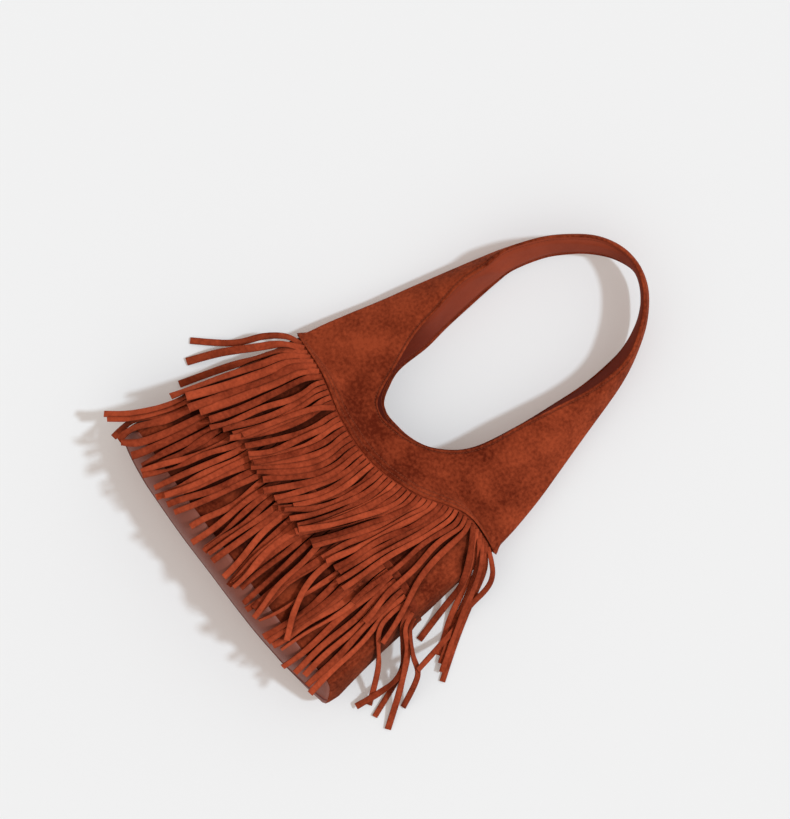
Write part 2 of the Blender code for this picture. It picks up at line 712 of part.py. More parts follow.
    def settle(self, height, k, stretches, step):
        """Lowers one ring of points as far as what lies below and the strand's stiffness allow."""
        room = float(height[k].min() - (height[k - 1].min() - STEEPEST_HANG * step[k - 1]))
        if k < len(height) - 1:
            room = min(room, float(height[k].min() - (height[k + 1].min() - STEEPEST_HANG * step[k])))
        for at in (k - 1, k):
            if at >= len(stretches):
                continue
            _, _, need, weights = stretches[at]
            corners = height[at : at + 2].ravel()
            share = weights[2:].sum(axis=0) if at == k - 1 else weights[:2].sum(axis=0)
            near = share > SETTLE_SHARE
            slack = (corners @ weights - warp(corners) - need)[near] / share[near]
            if len(slack):
                room = min(room, float(slack.min()))
        height[k] -= max(room, 0.0)

    def raise_stretch(self, height, k, stretch, spread):
        """Raises the free ends of one stretch by what it lacks at its worst cell."""
        _, _, need, weights = stretch
        free = np.array([k > 0, k > 0, True, True])
        corners = height[k : k + 2].ravel()
        lack = need - corners @ weights + warp(corners)
        lack = np.where(free @ weights > ROOT_SHARE, lack, 0)
        if not len(lack) or lack.max() <= 0:
            return
        share = weights[:, int(np.argmax(lack))] * free if spread else free * 1.0
        lift = lack.max() * share / ((share**2).sum() if spread else 1)
        height[k] += lift[:2]
        height[k + 1] += lift[2:]


def warp(corners):
    """How far the two triangles of a twisted face may leave the smooth surface between its corners."""
    return abs(corners[0] - corners[1] - corners[2] + corners[3]) / 4


def strand_path(start, sway, length, chance, stray):
    """Points of a strand in plan, from the strip's edge to its end."""
    if stray:
        run = smooth_run([start, *stray], 4)
        return resample(run, STRAND_STEPS + 1)
    angle = math.radians(FAN_MIDDLE + FAN_PER_MM * start[0] + sway + chance.gauss(0, FAN_SPREAD))
    bend = math.radians(chance.gauss(0, FAN_SPREAD))
    points = [np.array(start)]
    step = length / STRAND_STEPS
    for k in range(STRAND_STEPS):
        lean = angle * ease((k + 1.5) / 3) + bend * k / STRAND_STEPS
        points.append(points[-1] + step * np.array([math.sin(lean), -math.cos(lean)]))
    return np.array(points)


def make_fringe(name, low_edge, high_edge, heights, strays, typical, seed):
    """A strip between two edges that run from left to right, with strands hanging from the lower one."""
    chance = random.Random(seed)
    heights.start_tier()
    marks = np.concatenate([[0], np.cumsum([STRAND_SHARE, 1 - STRAND_SHARE] * STRANDS)])[:-1]
    marks /= marks[-1]
    spots = [at_shares(edge, marks) for edge in (low_edge, high_edge)]
    count = len(marks)
    points = [(x, y, heights.resting(x, y)) for x, y in np.concatenate(spots)]
    bottom = len(points)
    points = points + [(x, y, z + FRINGE_THICK) for x, y, z in points]
    faces = []
    for i in range(count - 1):
        a, b, c, d = i, i + 1, count + i + 1, count + i
        faces.extend([(c, b, a), (d, c, a)])
        faces.extend([(a + bottom, b + bottom, c + bottom), (a + bottom, c + bottom, d + bottom)])
        faces.append((c, d, d + bottom, c + bottom))
        if i % 2:
            faces.append((a, b, b + bottom, a + bottom))
    faces.append((0, bottom, count + bottom, count))
    faces.append((count - 1, 2 * count - 1, 2 * count - 1 + bottom, count - 1 + bottom))
    strip_top = np.array(points[bottom:])
    order = list(range(STRANDS))
    chance.shuffle(order)
    for k in order:
        add_strand(points, faces, (2 * k, 2 * k + 1), bottom, heights, typical, strays.get(k), chance)
    heights.end_tier(strip_top[:count], strip_top[count:])
    return make_piece(name, points, faces, SUEDE_DARK)


def at_shares(edge, shares):
    """Points of a line in plan at these shares of its length."""
    lengths = np.linalg.norm(np.diff(edge, axis=0), axis=1)
    along = np.concatenate([[0], np.cumsum(lengths)]) / lengths.sum()
    return np.column_stack([np.interp(shares, along, edge[:, k]) for k in (0, 1)])


def spot(x, y):
    return int(round((x - MAP_LEFT) / MAP_STEP)), int(round((y - MAP_BOTTOM) / MAP_STEP))


def add_strand(points, faces, ends, bottom, heights, typical, stray, chance):
    """One strand, its first ring of points shared with the strip."""
    left, right = np.array(points[ends[0]]), np.array(points[ends[1]])
    middle = (left + right) / 2
    wide = np.hypot(*(right - left)[:2])
    length = typical + chance.gauss(0, LENGTH_SPREAD)
    sway = SWAY * math.sin(math.tau * middle[0] / SWAY_LENGTH + typical)
    path = strand_path(tuple(middle[:2]), sway, length, chance, stray)
    run = unit(np.gradient(path, axis=0))
    side = np.column_stack([run[:, 1], -run[:, 0]]) * wide / 2
    plan_left, plan_right = path + side, path - side
    plan_left[0], plan_right[0] = left[:2], right[:2]
    level = heights.lay(plan_left, plan_right, (left[2], right[2]))
    ring = [ends[0], ends[1], ends[1] + bottom, ends[0] + bottom]
    for k in range(1, len(path)):
        start = len(points)
        a, b = plan_left[k], plan_right[k]
        points.append((a[0], a[1], level[k, 0]))
        points.append((b[0], b[1], level[k, 1]))
        points.append((b[0], b[1], level[k, 1] + FRINGE_THICK))
        points.append((a[0], a[1], level[k, 0] + FRINGE_THICK))
        new = [start, start + 1, start + 2, start + 3]
        for e in range(4):
            f = (e + 1) % 4
            faces.append((ring[f], new[f], new[e], ring[e]))
        ring = new
    faces.append(tuple(ring))


def level_line(grid, y):
    """The line across a panel at one distance up the bag, in plan."""
    return np.array([[np.interp(y, column[:, 1], column[:, 0]), y] for column in grid[:, :-1]])


def trimmed(line):
    """The line without a short stretch at each end, so that a strip stays clear of the side seams."""
    inset = STRIP_INSET / np.linalg.norm(np.diff(line, axis=0), axis=1).sum()
    return at_shares(line, np.linspace(inset, 1 - inset, 4 * len(line)))


def make_fringes(pieces, panel_grid):
    heights = HeightMap(pieces)
    low = trimmed(level_line(panel_grid, LOWER_HEADER_Y))
    high = trimmed(level_line(panel_grid, LOWER_HEADER_Y + HEADER_TALL))
    make_fringe("lower_fringe", low, high, heights, LOWER_STRAYS, LOWER_LENGTH, FRINGE_SEED)
    yoke_edge, lap = panel_grid[:, -2, :2], panel_grid[:, -1, :2]
    low = trimmed(yoke_edge - (0, HEADER_BELOW_EDGE))
    high = trimmed(yoke_edge + (lap - yoke_edge) * HEADER_TALL / YOKE_LAP)
    make_fringe("upper_fringe", low, high, heights, UPPER_STRAYS, UPPER_LENGTH, FRINGE_SEED + 1)


def main():
    clear_scene()
    make_fringes(*make_body())


main()
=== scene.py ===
# %% [markdown]
# # A fringed suede shoulder bag
#
# The bag lies on its back on a pale floor and is seen from straight above. A ring of suede, the yoke, goes
# round the mouth and runs on as the shoulder strap. Two tiers of cut fringe hang below it, and the bottom is
# wrapped in smooth leather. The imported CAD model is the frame: it gives each piece its place and its size.
# This lesson dresses each of its nodes with a finer piece: rolled edges, seams, stitches, nap and grain.

# %% Load the frame
import math
import random

import bpy
import numpy as np
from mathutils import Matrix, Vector, noise
from mathutils.bvhtree import BVHTree


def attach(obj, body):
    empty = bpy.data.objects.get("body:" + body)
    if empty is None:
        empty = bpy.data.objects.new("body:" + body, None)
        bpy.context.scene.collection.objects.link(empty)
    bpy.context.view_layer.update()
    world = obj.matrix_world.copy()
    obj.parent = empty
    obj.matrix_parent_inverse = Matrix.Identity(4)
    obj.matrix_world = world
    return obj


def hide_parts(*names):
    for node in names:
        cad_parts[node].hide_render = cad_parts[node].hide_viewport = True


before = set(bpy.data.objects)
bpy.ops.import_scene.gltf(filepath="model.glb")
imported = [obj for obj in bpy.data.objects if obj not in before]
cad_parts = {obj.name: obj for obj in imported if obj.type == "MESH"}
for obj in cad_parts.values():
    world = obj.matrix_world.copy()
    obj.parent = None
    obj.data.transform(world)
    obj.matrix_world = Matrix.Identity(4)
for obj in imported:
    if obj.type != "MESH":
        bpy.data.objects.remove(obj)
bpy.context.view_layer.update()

bpy.context.scene.view_settings.view_transform = "Standard"

# %% [markdown]
# ## Camera and studio
#
# The camera looks straight down from a little over two metres, so that the bag is seen almost without
# perspective. It is turned about the vertical, which lays the bag's axis from lower left to upper right.
# A long lens could also be had with a shifted view, but a turned camera needs no shift at all.

# %% Camera
FRAME_TALL = 0.819
CAMERA_HEIGHT = 2.3
CAMERA_PLACE = (-0.028, 0.133)
CAMERA_TURN = 52.97
SENSOR = 36.0
MIDDLE_HEIGHT = 0.03

bpy.ops.object.camera_add(
    location=(*CAMERA_PLACE, CAMERA_HEIGHT + MIDDLE_HEIGHT), rotation=(0, 0, math.radians(CAMERA_TURN))
)
camera = bpy.context.object
camera.data.sensor_fit = "VERTICAL"
camera.data.sensor_height = SENSOR
camera.data.lens = SENSOR * CAMERA_HEIGHT / FRAME_TALL
bpy.context.scene.camera = camera
print("lens:", round(camera.data.lens, 1), "mm")

# %% [markdown]
# The light is one big soft lamp far away to the right of the picture, which throws the soft shadows to the
# left, and an even pale room. Together they light a level surface at about one, where a colour
# renders as it is written. The room is a little warmer than the lamp, so the shadows on the floor come out
# warm grey. Rays that go straight to the lens, and mirror rays, see the pale backdrop instead of the room. A
# small warm part of the floor's paleness is there for those rays alone, which keeps the shadows open.

# %% Lamp, room and floor
LAMP_RISE = math.radians(50)
LAMP_SIDE = (0.602, 0.798)
LAMP_FROM = Vector((*(part * math.cos(LAMP_RISE) for part in LAMP_SIDE), math.sin(LAMP_RISE)))
LAMP_SOFTNESS = math.radians(5.5)
LAMP_COLOUR = (1.42, 1.61, 1.77)
ROOM_COLOUR = (0.655, 0.608, 0.57)
PALE = (0.871, 0.871, 0.871)
FLOOR_COLOUR = (0.722, 0.768, 0.783)
FLOOR_GLOW = (0.16, 0.115, 0.10)
FLOOR_WIDE, FLOOR_DROP = 8, 0.0004


def colour4(colour):
    return (*colour, 1.0)


def seen_directly(tree):
    """One for rays that go straight to the lens, by a mirror or through glass, and nought for the others."""
    path = tree.nodes.new("ShaderNodeLightPath")
    total = path.outputs["Is Camera Ray"]
    for kind in ("Is Glossy Ray", "Is Transmission Ray"):
        larger = tree.nodes.new("ShaderNodeMath")
        larger.operation = "MAXIMUM"
        tree.links.new(total, larger.inputs[0])
        tree.links.new(path.outputs[kind], larger.inputs[1])
        total = larger.outputs[0]
    return total


bpy.ops.object.light_add(type="SUN", rotation=LAMP_FROM.to_track_quat("Z", "Y").to_euler())
lamp = bpy.context.object.data
lamp.energy = 1.0
lamp.color = LAMP_COLOUR
lamp.angle = LAMP_SOFTNESS

room = bpy.data.worlds.new("room")
bpy.context.scene.world = room
room.use_nodes = True
nodes, links = room.node_tree.nodes, room.node_tree.links
nodes.clear()
lit, seen = nodes.new("ShaderNodeBackground"), nodes.new("ShaderNodeBackground")
lit.inputs["Color"].default_value = colour4(ROOM_COLOUR)
seen.inputs["Color"].default_value = colour4(PALE)
mix, out = nodes.new("ShaderNodeMixShader"), nodes.new("ShaderNodeOutputWorld")
links.new(seen_directly(room.node_tree), mix.inputs[0])
links.new(lit.outputs[0], mix.inputs[1])
links.new(seen.outputs[0], mix.inputs[2])
links.new(mix.outputs[0], out.inputs[0])


def new_material(name):
    """An empty node material with a Principled shader, its nodes and its links."""
    material = bpy.data.materials.new(name)
    material.use_nodes = True
    tree = material.node_tree
    return material, tree.nodes, tree.links, tree.nodes["Principled BSDF"]


bpy.ops.mesh.primitive_plane_add(size=FLOOR_WIDE, location=(0, 0, -FLOOR_DROP))
floor = bpy.context.object
floor.name = "floor"
paper, _, links, shader = new_material("paper")
shader.inputs["Base Color"].default_value = colour4(FLOOR_COLOUR)
shader.inputs["Emission Color"].default_value = colour4(FLOOR_GLOW)
links.new(seen_directly(paper.node_tree), shader.inputs["Emission Strength"])
shader.inputs["Roughness"].default_value = 1.0
shader.inputs["Specular IOR Level"].default_value = 0.0
floor.data.materials.append(paper)
print("lamp:", [round(part, 2) for part in LAMP_FROM], "floor:", FLOOR_WIDE, "m")

# %% [markdown]
# ## Finishes
#
# Suede is leather sanded to a short nap. It has no shine of its own, but the fibre ends catch light at the
# rims, and wherever a hand has brushed it the nap lies another way and looks lighter or darker. One node
# group makes that: broad cloudy patches, smaller blotches and single fibres, as one mask and one height. It
# is built once, and every suede places it with values of its own.

# %% A helper for node trees, and the nap
def add_node(tree, kind, values=(), **settings):
    """A new node with its settings and the values of its named or numbered inputs."""
    node = tree.nodes.new(kind)
    for key, value in settings.items():
        setattr(node, key, value)
    for key, value in dict(values).items():
        node.inputs[key].default_value = value
    return node


def make_group(name, inputs, outputs):
    """An empty node group whose sockets are given as (name, kind, default)."""
    group = bpy.data.node_groups.new(name, "ShaderNodeTree")
    for label, kind, default in inputs:
        socket = group.interface.new_socket(label, in_out="INPUT", socket_type=kind)
        if default is not None:
            socket.default_value = default
    for label, kind in outputs:
        group.interface.new_socket(label, in_out="OUTPUT", socket_type=kind)
    return group, group.nodes.new("NodeGroupInput"), group.nodes.new("NodeGroupOutput")


def noise_at(group, vector, scale, detail=2.0, rough=0.5, twist=0.0):
    values = {"Detail": detail, "Roughness": rough, "Distortion": twist}
    node = add_node(group, "ShaderNodeTexNoise", values)
    group.links.new(vector, node.inputs["Vector"])
    if isinstance(scale, (int, float)):
        node.inputs["Scale"].default_value = scale
    else:
        group.links.new(scale, node.inputs["Scale"])
    return node.outputs["Fac"]


def weighted(group, parts):
    """The sum of value sockets, each times its weight."""
    total = None
    for socket, weight in parts:
        node = add_node(group, "ShaderNodeMath", {1: weight}, operation="MULTIPLY")
        group.links.new(socket, node.inputs[0])
        if total is None:
            total = node.outputs[0]
            continue
        plus = add_node(group, "ShaderNodeMath", operation="ADD")
        group.links.new(total, plus.inputs[0])
        group.links.new(node.outputs[0], plus.inputs[1])
        total = plus.outputs[0]
    return total


nap, given, result = make_group(
    "nap",
    [("Vector", "NodeSocketVector", None), ("Patches", "NodeSocketFloat", 38.0)],
    [("Mask", "NodeSocketFloat"), ("Height", "NodeSocketFloat")],
)
brushed = add_node(nap, "ShaderNodeMapping", {"Rotation": (0, 0, 0.9), "Scale": (1, 3.2, 1)})
nap.links.new(given.outputs["Vector"], brushed.inputs["Vector"])
patches = noise_at(nap, given.outputs["Vector"], given.outputs["Patches"], 1.5, 0.45, 0.2)
strokes = noise_at(nap, brushed.outputs[0], 90.0, 2.0, 0.5, 0.2)
blotches = noise_at(nap, given.outputs["Vector"], 290.0, 1.0, 0.5)
fibres = noise_at(nap, given.outputs["Vector"], 1300.0, 3.0, 0.7)
mask = weighted(nap, [(patches, 0.5), (strokes, 0.1), (blotches, 0.4), (fibres, 0.2)])
spread = add_node(nap, "ShaderNodeMapRange", {"From Min": 0.44, "From Max": 0.77})
nap.links.new(mask, spread.inputs["Value"])
nap.links.new(spread.outputs[0], result.inputs["Mask"])
nap.links.new(weighted(nap, [(fibres, 0.7), (blotches, 0.6)]), result.inputs["Height"])

# %% [markdown]
# Smooth leather is the other side of the same hide: closed, a little shiny, with a fine grain of cells that
# are parted by shallow creases. The grain is a Voronoi pattern whose cell borders are pressed in. A bitmap
# would do as well on flat goods, but a solid pattern follows every curve without a seam.

# %% The grain
grain, given, result = make_group(
    "grain",
    [("Vector", "NodeSocketVector", None), ("Cells", "NodeSocketFloat", 800.0)],
    [("Mask", "NodeSocketFloat"), ("Height", "NodeSocketFloat")],
)
cells = add_node(grain, "ShaderNodeTexVoronoi", {"Randomness": 0.9}, feature="DISTANCE_TO_EDGE")
grain.links.new(given.outputs["Vector"], cells.inputs["Vector"])
grain.links.new(given.outputs["Cells"], cells.inputs["Scale"])
border = add_node(grain, "ShaderNodeMapRange", {"From Min": 0.0, "From Max": 0.16})
grain.links.new(cells.outputs["Distance"], border.inputs["Value"])
cloud = noise_at(grain, given.outputs["Vector"], 26.0, 3.0, 0.5, 0.5)
pores = noise_at(grain, given.outputs["Vector"], 420.0, 2.0, 0.5)
grain.links.new(weighted(grain, [(cloud, 0.75), (pores, 0.25)]), result.inputs["Mask"])
grain.links.new(weighted(grain, [(border.outputs[0], 0.5), (pores, 0.4)]), result.inputs["Height"])
print("groups:", [group.name for group in bpy.data.node_groups])

# %% [markdown]
# Each finish is a material with its own Principled shader. It places a group, mixes its colour between a dark
# and a light tone, and lets the group's height feed a bump. Three attributes of the mesh change the colour
# from place to place: where hands have brushed the nap; painted shade where the suede lies under the fringe
# and in its stitch grooves; and on smooth leather a mask that is edge dye in part and painted shade in part.

# %% Suede and leather
MIX_COLOURS, MIX_RESULT = (6, 7), 2


def place_group(tree, group, vector, values=()):
    node = add_node(tree, "ShaderNodeGroup", node_tree=group)
    tree.links.new(vector, node.inputs["Vector"])
    for key, value in dict(values).items():
        node.inputs[key].default_value = value
    return node


def mixed_colour(tree, factor, dark, light):
    """A colour between two, each of which is a plain colour or a socket."""
    node = add_node(tree, "ShaderNodeMix", data_type="RGBA")
    tree.links.new(factor, node.inputs["Factor"])
    for place, value in zip(MIX_COLOURS, (dark, light)):
        if isinstance(value, tuple):
            node.inputs[place].default_value = colour4(value)
        else:
            tree.links.new(value, node.inputs[place])
    return node.outputs[MIX_RESULT]


def bump(tree, height, shader, distance, strength):
    node = add_node(tree, "ShaderNodeBump", {"Strength": strength, "Distance": distance})
    tree.links.new(height, node.inputs["Height"])
    tree.links.new(node.outputs["Normal"], shader.inputs["Normal"])


# The dark tone that smooth leather's mask mixes toward: edge dye in part, painted shade in part.
DYE_AND_SHADE_COLOUR = (0.085, 0.011, 0.008)
# How far painted shade pulls a colour toward the near black below.
PAINTED_SHADE_DEPTH = 0.86
# The near black that painted shade, and the strands' dark edges, are mixed toward.
DARK_EDGE_AND_SHADE = (0.010, 0.0014, 0.0007)


def set_napped(shader):
    """What all suede has in common: no gloss, and a faint warm sheen of its fibre ends."""
    shader.inputs["Roughness"].default_value = 0.95
    shader.inputs["Specular IOR Level"].default_value = 0.06
    shader.inputs["Sheen Weight"].default_value = 0.12
    shader.inputs["Sheen Roughness"].default_value = 0.45
    shader.inputs["Sheen Tint"].default_value = colour4((0.9, 0.36, 0.2))


def suede_finish(name, dark, light, patch_size):
    """Suede between a dark and a light tone of its nap."""
    material, nodes, links, shader = new_material(name)
    tree = material.node_tree
    place = nodes.new("ShaderNodeTexCoord")
    fur = place_group(tree, nap, place.outputs["Object"], {"Patches": patch_size})
    brushed = add_node(tree, "ShaderNodeAttribute", attribute_name="brushed")
    worn = weighted(tree, [(fur.outputs["Mask"], 1.0), (brushed.outputs["Fac"], 1.0)])
    base = mixed_colour(tree, worn, dark, light)
    # Painted shade: the colour is pulled toward near black under the fringe and in the yoke's stitch grooves.
    covered = add_node(tree, "ShaderNodeAttribute", attribute_name="covered")
    shade_amount = weighted(tree, [(covered.outputs["Fac"], PAINTED_SHADE_DEPTH)])
    links.new(mixed_colour(tree, shade_amount, base, DARK_EDGE_AND_SHADE), shader.inputs["Base Color"])
    set_napped(shader)
    bump(tree, fur.outputs["Height"], shader, 0.0006, 0.6)
    return material


def leather_finish(name, dark, light, rough, cell_size, gloss, polish):
    """Smooth leather between two tones, its gloss all over, darkened by a mask of edge dye and painted
    shade, and a polish that fades where that mask is dark.
    """
    material, nodes, links, shader = new_material(name)
    tree = material.node_tree
    place = nodes.new("ShaderNodeTexCoord")
    hide = place_group(tree, grain, place.outputs["Object"], {"Cells": cell_size})
    base = mixed_colour(tree, hide.outputs["Mask"], dark, light)
    # The mask of edge dye and painted shade.
    dyed = add_node(tree, "ShaderNodeAttribute", attribute_name="dyed_edge")
    links.new(mixed_colour(tree, dyed.outputs["Fac"], base, DYE_AND_SHADE_COLOUR), shader.inputs["Base Color"])
    shine = add_node(tree, "ShaderNodeMapRange", {"To Min": rough - 0.06, "To Max": rough + 0.09})
    links.new(hide.outputs["Mask"], shine.inputs["Value"])
    links.new(shine.outputs[0], shader.inputs["Roughness"])
    shader.inputs["Specular IOR Level"].default_value = gloss
    shader.inputs["Coat Roughness"].default_value = 0.3
    if polish:
        rubbed = add_node(tree, "ShaderNodeMapRange", {"To Min": polish, "To Max": 0.0})
        links.new(dyed.outputs["Fac"], rubbed.inputs["Value"])
        links.new(rubbed.outputs[0], shader.inputs["Coat Weight"])
    bump(tree, hide.outputs["Height"], shader, 0.00012, 0.55)
    return material


SUEDE = suede_finish("napped_suede", (0.105, 0.012, 0.0035), (0.335, 0.055, 0.019), 30.0)
BASE_LEATHER = leather_finish(
    "base_hide",
    dark=(0.19, 0.05, 0.03),
    light=(0.28, 0.09, 0.062),
    rough=0.4,
    cell_size=900.0,
    gloss=0.18,
    polish=0,
)
SMOOTH_LEATHER = leather_finish(
    "strap_hide",
    dark=(0.19, 0.03, 0.013),
    light=(0.41, 0.074, 0.033),
    rough=0.5,
    cell_size=1100.0,
    gloss=0,
    polish=0.14,
)
print("leathers:", SUEDE.name, BASE_LEATHER.name, SMOOTH_LEATHER.name)

# %% [markdown]
# The fringe is cut from the same suede, but its nap runs along each strand, no two strands catch the
# light alike, and the cut edges are rough and dark. So its material reads the strand's own UV map for streaks
# that run lengthwise, and three more attributes of the mesh: the strand's tone, how near its edge is, and the
# painted shade where a tier lies over it. The edge value darkens the sides and underside of each strand,
# in part as the raw cut edge and in part as painted shade.

# %% Fringe, thread and cloth
def fringe_finish():
    material, nodes, links, shader = new_material("strand_suede")
    tree = material.node_tree
    place = nodes.new("ShaderNodeTexCoord")
    fur = place_group(tree, nap, place.outputs["Object"], {"Patches": 55.0})
    run = add_node(tree, "ShaderNodeMapping", {"Scale": (90, 900, 1)})
    links.new(place.outputs["UV"], run.inputs["Vector"])
    streak = noise_at(tree, run.outputs[0], 1.0, 3.0, 0.6)
    tone = add_node(tree, "ShaderNodeAttribute", attribute_name="tone")
    edge = add_node(tree, "ShaderNodeAttribute", attribute_name="cut_edge")
    # Painted shade where the upper tier lies over the lower tier and its strip.
    covered = add_node(tree, "ShaderNodeAttribute", attribute_name="covered")
    parts = [(fur.outputs["Mask"], 0.5), (streak, 0.25), (tone.outputs["Fac"], 0.45)]
    base = mixed_colour(tree, weighted(tree, parts), (0.10, 0.011, 0.0035), (0.50, 0.082, 0.031))
    # The darker of the edge value and the painted shade pulls the colour toward near black.
    edge_and_shade = add_node(tree, "ShaderNodeMath", operation="MAXIMUM")
    links.new(weighted(tree, [(edge.outputs["Fac"], 0.8)]), edge_and_shade.inputs[0])
    links.new(weighted(tree, [(covered.outputs["Fac"], PAINTED_SHADE_DEPTH)]), edge_and_shade.inputs[1])
    links.new(mixed_colour(tree, edge_and_shade.outputs[0], base, DARK_EDGE_AND_SHADE), shader.inputs["Base Color"])
    set_napped(shader)
    bump(tree, weighted(tree, [(fur.outputs["Height"], 0.7), (streak, 0.5)]), shader, 0.0006, 0.6)
    return material


def thread_finish():
    material, nodes, links, shader = new_material("thread")
    tree = material.node_tree
    place = nodes.new("ShaderNodeTexCoord")
    ply = add_node(tree, "ShaderNodeTexWave", {"Scale": 900.0, "Distortion": 1.0}, bands_direction="DIAGONAL")
    links.new(place.outputs["Object"], ply.inputs["Vector"])
    colour = mixed_colour(tree, ply.outputs["Fac"], (0.13, 0.024, 0.011), (0.27, 0.06, 0.027))
    links.new(colour, shader.inputs["Base Color"])
    shader.inputs["Roughness"].default_value = 0.8
    shader.inputs["Specular IOR Level"].default_value = 0.1
    bump(tree, ply.outputs["Fac"], shader, 0.0001, 0.5)
    return material


def cloth_finish():
    material, nodes, links, shader = new_material("pouch_cloth")
    tree = material.node_tree
    place = nodes.new("ShaderNodeTexCoord")
    ways = []
    threads = {"Scale": 320.0, "Distortion": 0.4}
    for direction in "XY":
        way = add_node(tree, "ShaderNodeTexWave", threads, bands_direction=direction)
        links.new(place.outputs["Object"], way.inputs["Vector"])
        ways.append((way.outputs["Fac"], 0.5))
    weave = weighted(tree, ways)
    colour = mixed_colour(tree, weave, (0.075, 0.03, 0.02), (0.15, 0.065, 0.045))
    links.new(colour, shader.inputs["Base Color"])
    shader.inputs["Roughness"].default_value = 0.9
    shader.inputs["Specular IOR Level"].default_value = 0.2
    bump(tree, weave, shader, 0.0002, 0.6)
    return material


SUEDE_FRINGE, THREAD, CLOTH = fringe_finish(), thread_finish(), cloth_finish()
print("finishes:", [material.name for material in bpy.data.materials if material.use_nodes])

# %% [markdown]
# ## The pattern
#
# A pattern cutter draws the bag as a few curves: the rim of the mouth, the fold along the outside of the
# strap, the lower edge of the yoke, and the side seams. They are in millimetres, with Y counted from the
# base seam. Nearly the same numbers drew the CAD model: only the strap's rims and the right end of the base
# are a few millimetres truer here. The curves are read more finely too, so the pieces come out round where
# the solids are faceted.

# %% Measures in millimetres
METRE = 0.001
ORIGIN_UP = 100.0
PANEL_THICK, YOKE_THICK, GUSSET_THICK, BASE_THICK = 1.3, 1.4, 1.3, 1.6
FACING_THICK, STRAP_LINING_THICK, LINING_THICK, FRINGE_THICK = 1.0, 1.2, 0.8, 1.2
SEAM_GAP = 0.3
YOKE_LAP, LAP_FADE = 9.0, 14.0
CROWN_AT_BASE, CROWN_AT_YOKE = 76.0, 56.0
SIDE_AT_BASE, SIDE_AT_FOLD = 58.0, 24.0
GUSSET_BACK_HEIGHT = 7.0
RIM_HEIGHT = 43.0
ARCH_POWER, BACK_POWER, FOLD_ROUND = 2.6, 9.0, 2.0
LEFT_SEAM = [(-162, 17.5), (-158, 70), (-150, 130), (-145, 175), (-144, 199)]
RIGHT_SEAM = [(147, 17.5), (146, 70), (144, 120), (144, 175), (145, 225)]
LEFT_BACK_SEAM = [(-171, 20), (-166, 70), (-156, 130), (-148, 175), (-144, 199)]
RIGHT_BACK_SEAM = [(163, 20), (158, 70), (154, 130), (149, 175), (145, 225)]
GUSSET_BULGE = 3.0
LEFT_END = [(-162, 17.5, 58), (-168, 13, 49), (-173, 3, 36), (-173, 1, 24), (-174, 9, 12), (-171, 20, 7)]
RIGHT_END = [(147, 17.5, 58), (153, 15, 50), (160, 8, 38), (165, 0, 25), (166, 6, 12), (163, 20, 7)]
BASE_PROFILE = [
    (0, 1),
    (10, 0.985),
    (19, 0.91),
    (25.5, 0.75),
    (27.5, 0.53),
    (26, 0.3),
    (21, 0.1),
    (12, 0.02),
    (0, 0),
]
BASE_REACH = [1.12, 1.17, 1.10, 1.06, 1.07, 1.12, 1.0]
print("base seam:", round(math.dist(LEFT_SEAM[0], RIGHT_SEAM[0])), "mm across")

# %% [markdown]
# The mouth and the strap are one closed ring, so it is measured at stations that go once round it. Each gives
# the front rim, the back rim with its height over the floor, and the outer edge with its height. The strap
# stands on edge on the left, where its inner face shows, and twists until it shows its edge at the top.

# %% Stations round the mouth and the strap
STATIONS = [
    ((-45.6, 224), (-41.5, 229.1, 1.4), (-144, 199, 24)),
    ((-37.4, 219.3), (-33.3, 224.9, 1.4), (-97, 195.6, 0)),
    ((-28.2, 217.6), (-25.2, 223.7, 1.4), (-50, 184.5, 0)),
    ((-18.1, 219.5), (-15.1, 224.5, 1.4), (0, 183.3, 0)),
    ((0, 224.3), (1, 227.4, 1.4), (50, 199, 0)),
    ((17, 232.7), (17.5, 234.2, 1.4), (96, 225.7, 0)),
    ((31.1, 244.2), (31.1, 244.7, 1.4), (145, 225, 24)),
    ((45, 261.9), (45, 261.9, 1.4), (140.2, 256, 20)),
    ((53.8, 284.3), (53.8, 284.3, 1.4), (131.2, 293.9, 18)),
    ((60, 324), (60.6, 324, 1.5), (120.7, 328.3, 18)),
    ((66.7, 361.8), (64.4, 361, 1.7), (107.6, 370, 19)),
    ((72.7, 396.9), (67, 398.6, 2.5), (97.7, 401.9, 21)),
    ((74.1, 427.4), (65.1, 432.3, 4), (87.7, 429.8, 23)),
    ((68.3, 453.2), (60.5, 456.1, 6.5), (75, 455.4, 25)),
    ((52.2, 478.6), (49.3, 479.6, 11), (57, 482.2, 26)),
    ((34.9, 495.4), (34.9, 496.1, 15), (37.3, 500.9, 27)),
    ((17.6, 505.8), (18.4, 506.5, 17), (18.7, 511, 27)),
    ((-2, 510.5), (2, 508.2, 18), (-2, 514.5, 27)),
    ((-21.4, 507.6), (-18.3, 498.9, 18), (-23.5, 510.5, 27)),
    ((-42.6, 495.6), (-36.3, 482.7, 17.5), (-44.7, 497.7, 27)),
    ((-60.8, 474.4), (-49.6, 464.3, 16), (-62.8, 476.4, 26)),
    ((-75.1, 451.2), (-60.4, 443.4, 14), (-77.1, 452.2, 25)),
    ((-87.4, 417.3), (-68.8, 412.9, 11), (-90, 417.4, 23)),
    ((-87.3, 390.9), (-68.9, 391, 7), (-97.8, 390.9, 21)),
    ((-89, 361.3), (-66.7, 362.8, 4), (-105.5, 361.3, 19)),
    ((-82, 323), (-63.1, 324.9, 2.5), (-115.6, 322.2, 18)),
    ((-76.2, 292.8), (-59.1, 296.9, 2), (-123, 290, 18)),
    ((-62.3, 258.5), (-57.8, 261.3, 1.5), (-132, 255, 20)),
    ((-53.1, 236.3), (-49.7, 241.1, 1.4), (-139, 226, 22)),
]
RIGHT_SHOULDER, STRAP_STARTS, STRAP_ENDS = 6, 9, 25
print(len(STATIONS), "stations, of which the strap has", STRAP_ENDS - STRAP_STARTS)

# %% [markdown]
# A curve through the stations is a chain of Hermite pieces, which pass through each point without a kink.
# The two shoulders are marked as corners, because the yoke's lower edge really does meet the fold at an
# angle.

